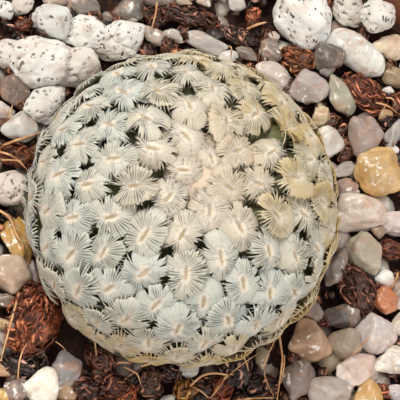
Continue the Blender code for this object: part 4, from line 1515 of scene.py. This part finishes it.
# Fibres that show from above: width, and points along each, in mm east and north of the cactus.
SHOWN_FIBRES = (
    (0.25, (-1.7, 29.2), (-1.9, 27.6), (-2.4, 25.5)),
    (0.36, (10.3, 26.7), (12.8, 27.7)),
    (0.2, (9.7, 26.3), (9.8, 25.2)),
    (0.18, (7.8, 24.2), (8.3, 22.6)),
    (0.24, (27.5, 17.8), (29.0, 17.2), (30.5, 16.8)),
    (0.24, (28.9, 18.6), (30.5, 17.9)),
    (0.3, (29.7, -4.8), (29.2, -5.9), (28.8, -6.9)),
    (0.3, (14.0, -13.1), (14.4, -16.4), (13.7, -21.6)),
    (0.2, (14.7, -15.9), (14.3, -19.4)),
    (0.18, (13.5, -14.1), (11.9, -17.0), (12.1, -18.8), (13.5, -21.0)),
    (0.26, (8.6, -21.6), (13.4, -21.2)),
    (0.32, (2.8, -20.1), (4.1, -18.8), (5.7, -18.5), (7.4, -18.6), (9.0, -18.3)),
    (0.24, (3.1, -20.2), (5.2, -21.5)),
    (0.24, (7.4, -18.6), (5.2, -21.6)),
    (0.3, (-18.4, -9.6), (-19.4, -13.4), (-20.5, -18.1)),
    (0.14, (-13.9, -15.4), (-12.6, -16.5)),
    (0.34, (-21.1, 0.7), (-19.7, -0.3), (-19.0, -2.6), (-18.0, -3.6), (-18.0, -5.3)),
    (0.34, (-20.9, 8.9), (-18.3, 9.8), (-15.5, 11.4)),
    (0.3, (-21.3, 8.1), (-19.5, 7.4), (-17.8, 6.3)),
    (0.26, (-21.0, 7.1), (-18.8, 7.0), (-17.5, 5.8)),
    (0.36, (-6.2, -17.6), (-4.5, -17.6)),
    (0.36, (-3.3, -17.9), (-1.7, -17.5)),
    (0.24, (-5.4, -18.1), (-3.9, -18.9), (-3.4, -20.2)),
    (0.2, (-20.2, 12.5), (-19.8, 14.4)),
)
FIBRE_POINTS = 14  # along the line of each
# Fibres elsewhere, in mm: how far from the pot's middle they lie, their length and width.
FIBRE_PLACES, FIBRE_SPANS, FIBRE_WIDTHS = (20, 38), (3, 8), (0.1, 0.24)


def shown_fibres():
    """The lines and widths of the fibres that show, each bent softly at its points."""
    share = np.linspace(0, 1, FIBRE_POINTS)
    lines, widths = [], []
    for width, *spots in SHOWN_FIBRES:
        spots = np.array(spots) * MM + MIDDLE[:2]
        along = np.linspace(0, 1, len(spots))
        bent = np.column_stack([np.interp(share, along, spots[:, axis]) for axis in (0, 1)])
        bent[1:-1] = (bent[:-2] + 2 * bent[1:-1] + bent[2:]) / 4
        lines.append(bent)
        widths.append(width * MM)
    return lines, widths


def coir(tree, settings):
    """Coir and fine roots, dried: straw-coloured, darker in places, with a dull surface."""
    cell = add(tree, "TexNoise", {"Scale": 1 / (1.5 * MM), "Detail": 3.0})
    colours = ((0.35, linear("#B07A4E")), (0.6, settings.fibre))
    return {"Base Color": add(tree, "ValToRGB", (cell,), colours), "Roughness": 0.7}


class MAMMILLARIA_OT_fibres(bpy.types.Operator):
    """Scatter root and coir fibres over the stones"""

    bl_idname = "mammillaria.fibres"
    bl_label = "Fibres"

    def execute(self, context):
        settings = context.scene.mammillaria_grit
        draw = np.random.default_rng(53)
        share = np.linspace(0, 1, FIBRE_POINTS)
        lines, widths = shown_fibres()
        while len(lines) < settings.fibres:
            far = draw.uniform(*FIBRE_PLACES) * MM
            turn, aim = draw.uniform(0, 2 * math.pi), draw.uniform(0, 2 * math.pi)
            span = draw.uniform(*FIBRE_SPANS) * MM * np.array([math.cos(aim), math.sin(aim)])
            start = far * np.array([math.cos(turn), math.sin(turn)])
            if from_plant(*(start + span / 2)) < 34 * MM and start[1] > -16 * MM:
                continue
            sideways = np.array([-span[1], span[0]])
            bow = draw.uniform(-0.18, 0.18) * np.sin(np.pi * share)[:, None] * sideways
            lines.append(start + span * share[:, None] + bow)
            widths.append(draw.uniform(*FIBRE_WIDTHS) * MM)
        for place, line in enumerate(lines):
            height = 1.5 + draw.uniform(0.2, 0.9) * np.sin(np.pi * share * draw.uniform(0.7, 1.4))
            lines[place] = np.column_stack([line, bed_height(line[:, 0], line[:, 1]) + height * MM])
        widths = np.array(widths)[:, None] * (1 - 0.6 * share**3)
        up = np.tile(np.array([0.0, 0.0, 1.0]), (len(lines), 1))
        points, faces = strands(np.array(lines), widths, up, 1.0, 5)
        paint = material("coir fibre, dried", coir, settings)
        piece("loose_fibres", kept_clear(points), faces, paint, "stones", "gravel")
        return {"FINISHED"}


# Corners of the mix's side and of the pot's section, as radius and height in mm.
MIX_WALL = ((40.0, 62.6), (37.6, 60.2), (28.0, 8.9))
MIX_FOOT_RADIUS = 25.6 * MM
POT_FOOT = ((4.5, 1.0), (23.5, 1.0), (24.5, 0.0), (29.5, 0.0), (30.2, 0.3), (30.5, 1.0))
POT_BAND = ((41.9, 62.0), (44.3, 62.5), (44.5, 63.0))
POT_INSIDE = ((40.6, 62.0), (38.0, 60.0), (28.3, 8.6), (25.9, 6.0), (4.5, 6.0), (4.5, 1.0))


def mix_profile():
    """The outline of the mix, from the middle of its top round to the middle of its foot."""
    foot = SOIL_LOW.z
    wall = [(r * MM, h * MM) for r, h in MIX_WALL]
    top = [(0.0, MIX_TOP), (FILL_RADIUS, MIX_TOP)]
    corners = [*top, *wall, (MIX_FOOT_RADIUS, foot), (0.0, foot)]
    return smooth_profile(corners, 2.4 * MM) + [corners[-1]]


class MAMMILLARIA_OT_mix(bpy.types.Operator):
    """Fill the pot with crumbly mix under the stones"""

    bl_idname = "mammillaria.mix"
    bl_label = "Potting Mix"

    def execute(self, context):
        columns = 96
        profile = mix_profile()
        rows = [
            ring(radius, height, row_turns(row, len(profile), columns))
            for row, (radius, height) in enumerate(profile)
        ]
        points = np.concatenate(rows)
        inward = 0.25 * MM * (1 + noise_at(points, 2.5 * MM, 4))
        points -= unit(points - np.array([0, 0, 40 * MM])) * inward[:, None]
        paint = material("potting mix, packed", loose_peat, context.scene.mammillaria_grit)
        piece("potting_mix", points, lathe(len(profile), columns), paint, "potting_mix", "soil")
        return {"FINISHED"}


def thrown_clay(tree, settings):
    """Terracotta, thrown and fired without glaze: matt, sandy, with lime dried on it in places."""
    level = add(tree, "Mapping", {"Scale": (0.12, 0.12, 1)})
    throwing = add(tree, "TexNoise", {"Vector": level, "Scale": 1 / (1.6 * MM), "Detail": 3.0})
    fire = add(tree, "TexNoise", {"Scale": 1 / (18 * MM), "Detail": 4.0})
    body = add(tree, "Mix", (fire, linear("#9C5233"), settings.clay), data_type="RGBA")
    lime = add(tree, "TexNoise", {"Scale": 1 / (15 * MM), "Detail": 7.0, "Roughness": 0.6})
    patch = add(tree, "ValToRGB", (lime,), ((0.45, grey(0)), (0.8, grey(0.5))))
    bloomed = add(tree, "Mix", (patch, body, settings.bloom), data_type="RGBA")
    sand = add(tree, "TexVoronoi", {"Scale": 1 / (0.9 * MM)})
    speck = add(tree, "ValToRGB", (sand,), ((0.06, grey(0.55)), (0.16, grey(1))))
    grain = add(tree, "TexNoise", {"Scale": 1 / (0.5 * MM), "Detail": 5.0})
    height = add(tree, "Math", (throwing, grain), operation="ADD")
    return {
        "Base Color": add(tree, "Mix", (1.0, bloomed, speck), data_type="RGBA", blend_type="MULTIPLY"),
        "Normal": add(tree, "Bump", {"Height": height, "Strength": 0.35, "Distance": 0.15 * MM}),
        "Roughness": 0.88,
    }


def pot_section():
    """The closed section of the pot, from the drain hole out, up, over the lip and down inside."""
    lip = 2.1 * MM
    made = [(r * MM, h * MM) for r, h in POT_FOOT + POT_BAND]
    for degrees in range(0, 181, 15):
        angle = math.radians(degrees)
        across, up = lip * math.cos(angle), lip * math.sin(angle)
        made.append((RIM_RADIUS - lip + across, POT_HEIGHT - lip + up))
    made += [(r * MM, h * MM) for r, h in POT_INSIDE]
    return smooth_profile(made, 1.8 * MM)


class MAMMILLARIA_OT_pot(bpy.types.Operator):
    """Throw the clay pot"""

    bl_idname = "mammillaria.pot"
    bl_label = "Pot"

    def execute(self, context):
        columns = 108
        turn = turns_round(columns)
        section = pot_section()
        rows = []
        for radius, height in section:
            waves = np.sin(height / (0.9 * MM) + 0.3 * np.sin(turn))
            worn = 0.05 * MM * np.abs(waves) if height > 2 * MM else 0
            rows.append(ring(radius - worn, height, turn))
        faces = [face[::-1] for face in lathe(len(section), columns, ends_closed=False)]
        settings = context.scene.mammillaria_pot
        paint = material("terracotta, thrown and unglazed", thrown_clay, settings)
        piece("clay_pot", np.concatenate(rows), faces, paint, "terracotta", "pot")
        return {"FINISHED"}


# Camera and light. The camera looks down on the cactus from the west of south, as the
# photograph was taken.
VIEW_BACK = Vector((-0.2078, -0.2612, 0.9426))
VIEW_DISTANCE = 200 * MM
VIEW_LENS = 150
VIEW_SHIFT = (0.045, 0.021)
WORLD_STRENGTH = 0.79
FLOOR_REACH = 1500 * MM

# Lamps: name, direction from the cactus, distance and width in metres, watts, and colour.
LAMPS = (
    ("key", (-0.42, 0.5, 0.9), 0.7, 0.3, 3.7, "#FFF6E8"),
    ("fill", (0.7, -0.5, 0.8), 0.9, 0.8, 2.4, "#FFF4E8"),
    ("low fill", (-0.25, -0.9, 0.4), 0.9, 0.6, 1.3, "#FFEFD8"),
)


def lamp(name, toward, far, size, power, colour):
    """A square soft light, looking at the cactus from a direction."""
    light = bpy.data.lights.new(name, "AREA")
    light.size = size
    light.energy = power
    light.color = linear(colour)[:3]
    made = bpy.data.objects.new(name, light)
    bpy.context.scene.collection.objects.link(made)
    made.location = BALL_CENTRE + Vector(toward).normalized() * far
    made.rotation_euler = Vector(toward).to_track_quat("Z", "Y").to_euler()


def backdrop_paper(tree, settings):
    """Paper, calendered: pale and matt, with faint soft clouds in it, six to a metre."""
    soft = add(tree, "TexNoise", {"Scale": 6 / (1000 * MM), "Detail": 2.0})
    shade = add(tree, "Mix", (soft, settings.ground, linear("#DEDCD7")), data_type="RGBA")
    return {"Base Color": shade, "Roughness": 0.7}


class MAMMILLARIA_OT_stage(bpy.types.Operator):
    """Set the floor, the soft light and the camera"""

    bl_idname = "mammillaria.stage"
    bl_label = "Stage"

    def execute(self, context):
        scene = context.scene
        bm = bmesh.new()
        bmesh.ops.create_grid(bm, x_segments=8, y_segments=8, size=FLOOR_REACH)
        mesh = bpy.data.meshes.new("floor")
        bm.to_mesh(mesh)
        bm.free()
        mesh.materials.append(material("backdrop paper, matt", backdrop_paper, scene.mammillaria_pot))
        floor = bpy.data.objects.new("floor", mesh)
        scene.collection.objects.link(floor)
        world = bpy.data.worlds.new("studio")
        world.use_nodes = True
        sky = world.node_tree.nodes["Background"]
        sky.inputs["Color"].default_value = linear("#ECEDEC")
        sky.inputs["Strength"].default_value = WORLD_STRENGTH
        scene.world = world
        for facts in LAMPS:
            lamp(*facts)
        camera = bpy.data.cameras.new("camera")
        camera.lens = VIEW_LENS
        camera.shift_x, camera.shift_y = VIEW_SHIFT
        camera.clip_start = 0.01
        made = bpy.data.objects.new("camera", camera)
        scene.collection.objects.link(made)
        right = Vector((0, 1, 0)).cross(VIEW_BACK).normalized()
        axes = Matrix((right, VIEW_BACK.cross(right), VIEW_BACK)).transposed().to_4x4()
        axes.translation = BALL_CENTRE + VIEW_BACK * VIEW_DISTANCE
        made.matrix_world = axes
        scene.camera = made
        scene.view_settings.view_transform = "Standard"
        return {"FINISHED"}


STEPS = (
    MAMMILLARIA_OT_stage,
    MAMMILLARIA_OT_pot,
    MAMMILLARIA_OT_mix,
    MAMMILLARIA_OT_peat,
    MAMMILLARIA_OT_pumice,
    MAMMILLARIA_OT_quartz,
    MAMMILLARIA_OT_bark,
    MAMMILLARIA_OT_fibres,
    MAMMILLARIA_OT_flesh,
    MAMMILLARIA_OT_spines,
    MAMMILLARIA_OT_webs,
    MAMMILLARIA_OT_areoles,
    MAMMILLARIA_OT_crown_wool,
)
SETTINGS = {
    "mammillaria_plant": PlantSettings,
    "mammillaria_grit": GritSettings,
    "mammillaria_pot": PotSettings,
}


class MAMMILLARIA_PT_panel(bpy.types.Panel):
    """Lists the pieces of the potted mammillaria and their settings"""

    bl_idname = "MAMMILLARIA_PT_panel"
    bl_label = "Potted Mammillaria"
    bl_space_type = "VIEW_3D"
    bl_region_type = "UI"
    bl_category = "Mammillaria"

    def draw(self, context):
        for step in STEPS:
            self.layout.operator(step.bl_idname)
        for name, group in SETTINGS.items():
            box = self.layout.box()
            for label in group.__annotations__:
                box.prop(getattr(context.scene, name), label)


def register():
    for made in (*SETTINGS.values(), *STEPS, MAMMILLARIA_PT_panel):
        bpy.utils.register_class(made)
    for name, group in SETTINGS.items():
        setattr(bpy.types.Scene, name, PointerProperty(type=group))


def unregister():
    for name in SETTINGS:
        delattr(bpy.types.Scene, name)
    for made in (MAMMILLARIA_PT_panel, *reversed(STEPS), *SETTINGS.values()):
        bpy.utils.unregister_class(made)


def main():
    register()
    for step in STEPS:
        group, name = step.bl_idname.split(".")
        getattr(getattr(bpy.ops, group), name)()


if __name__ == "__main__":
    main()
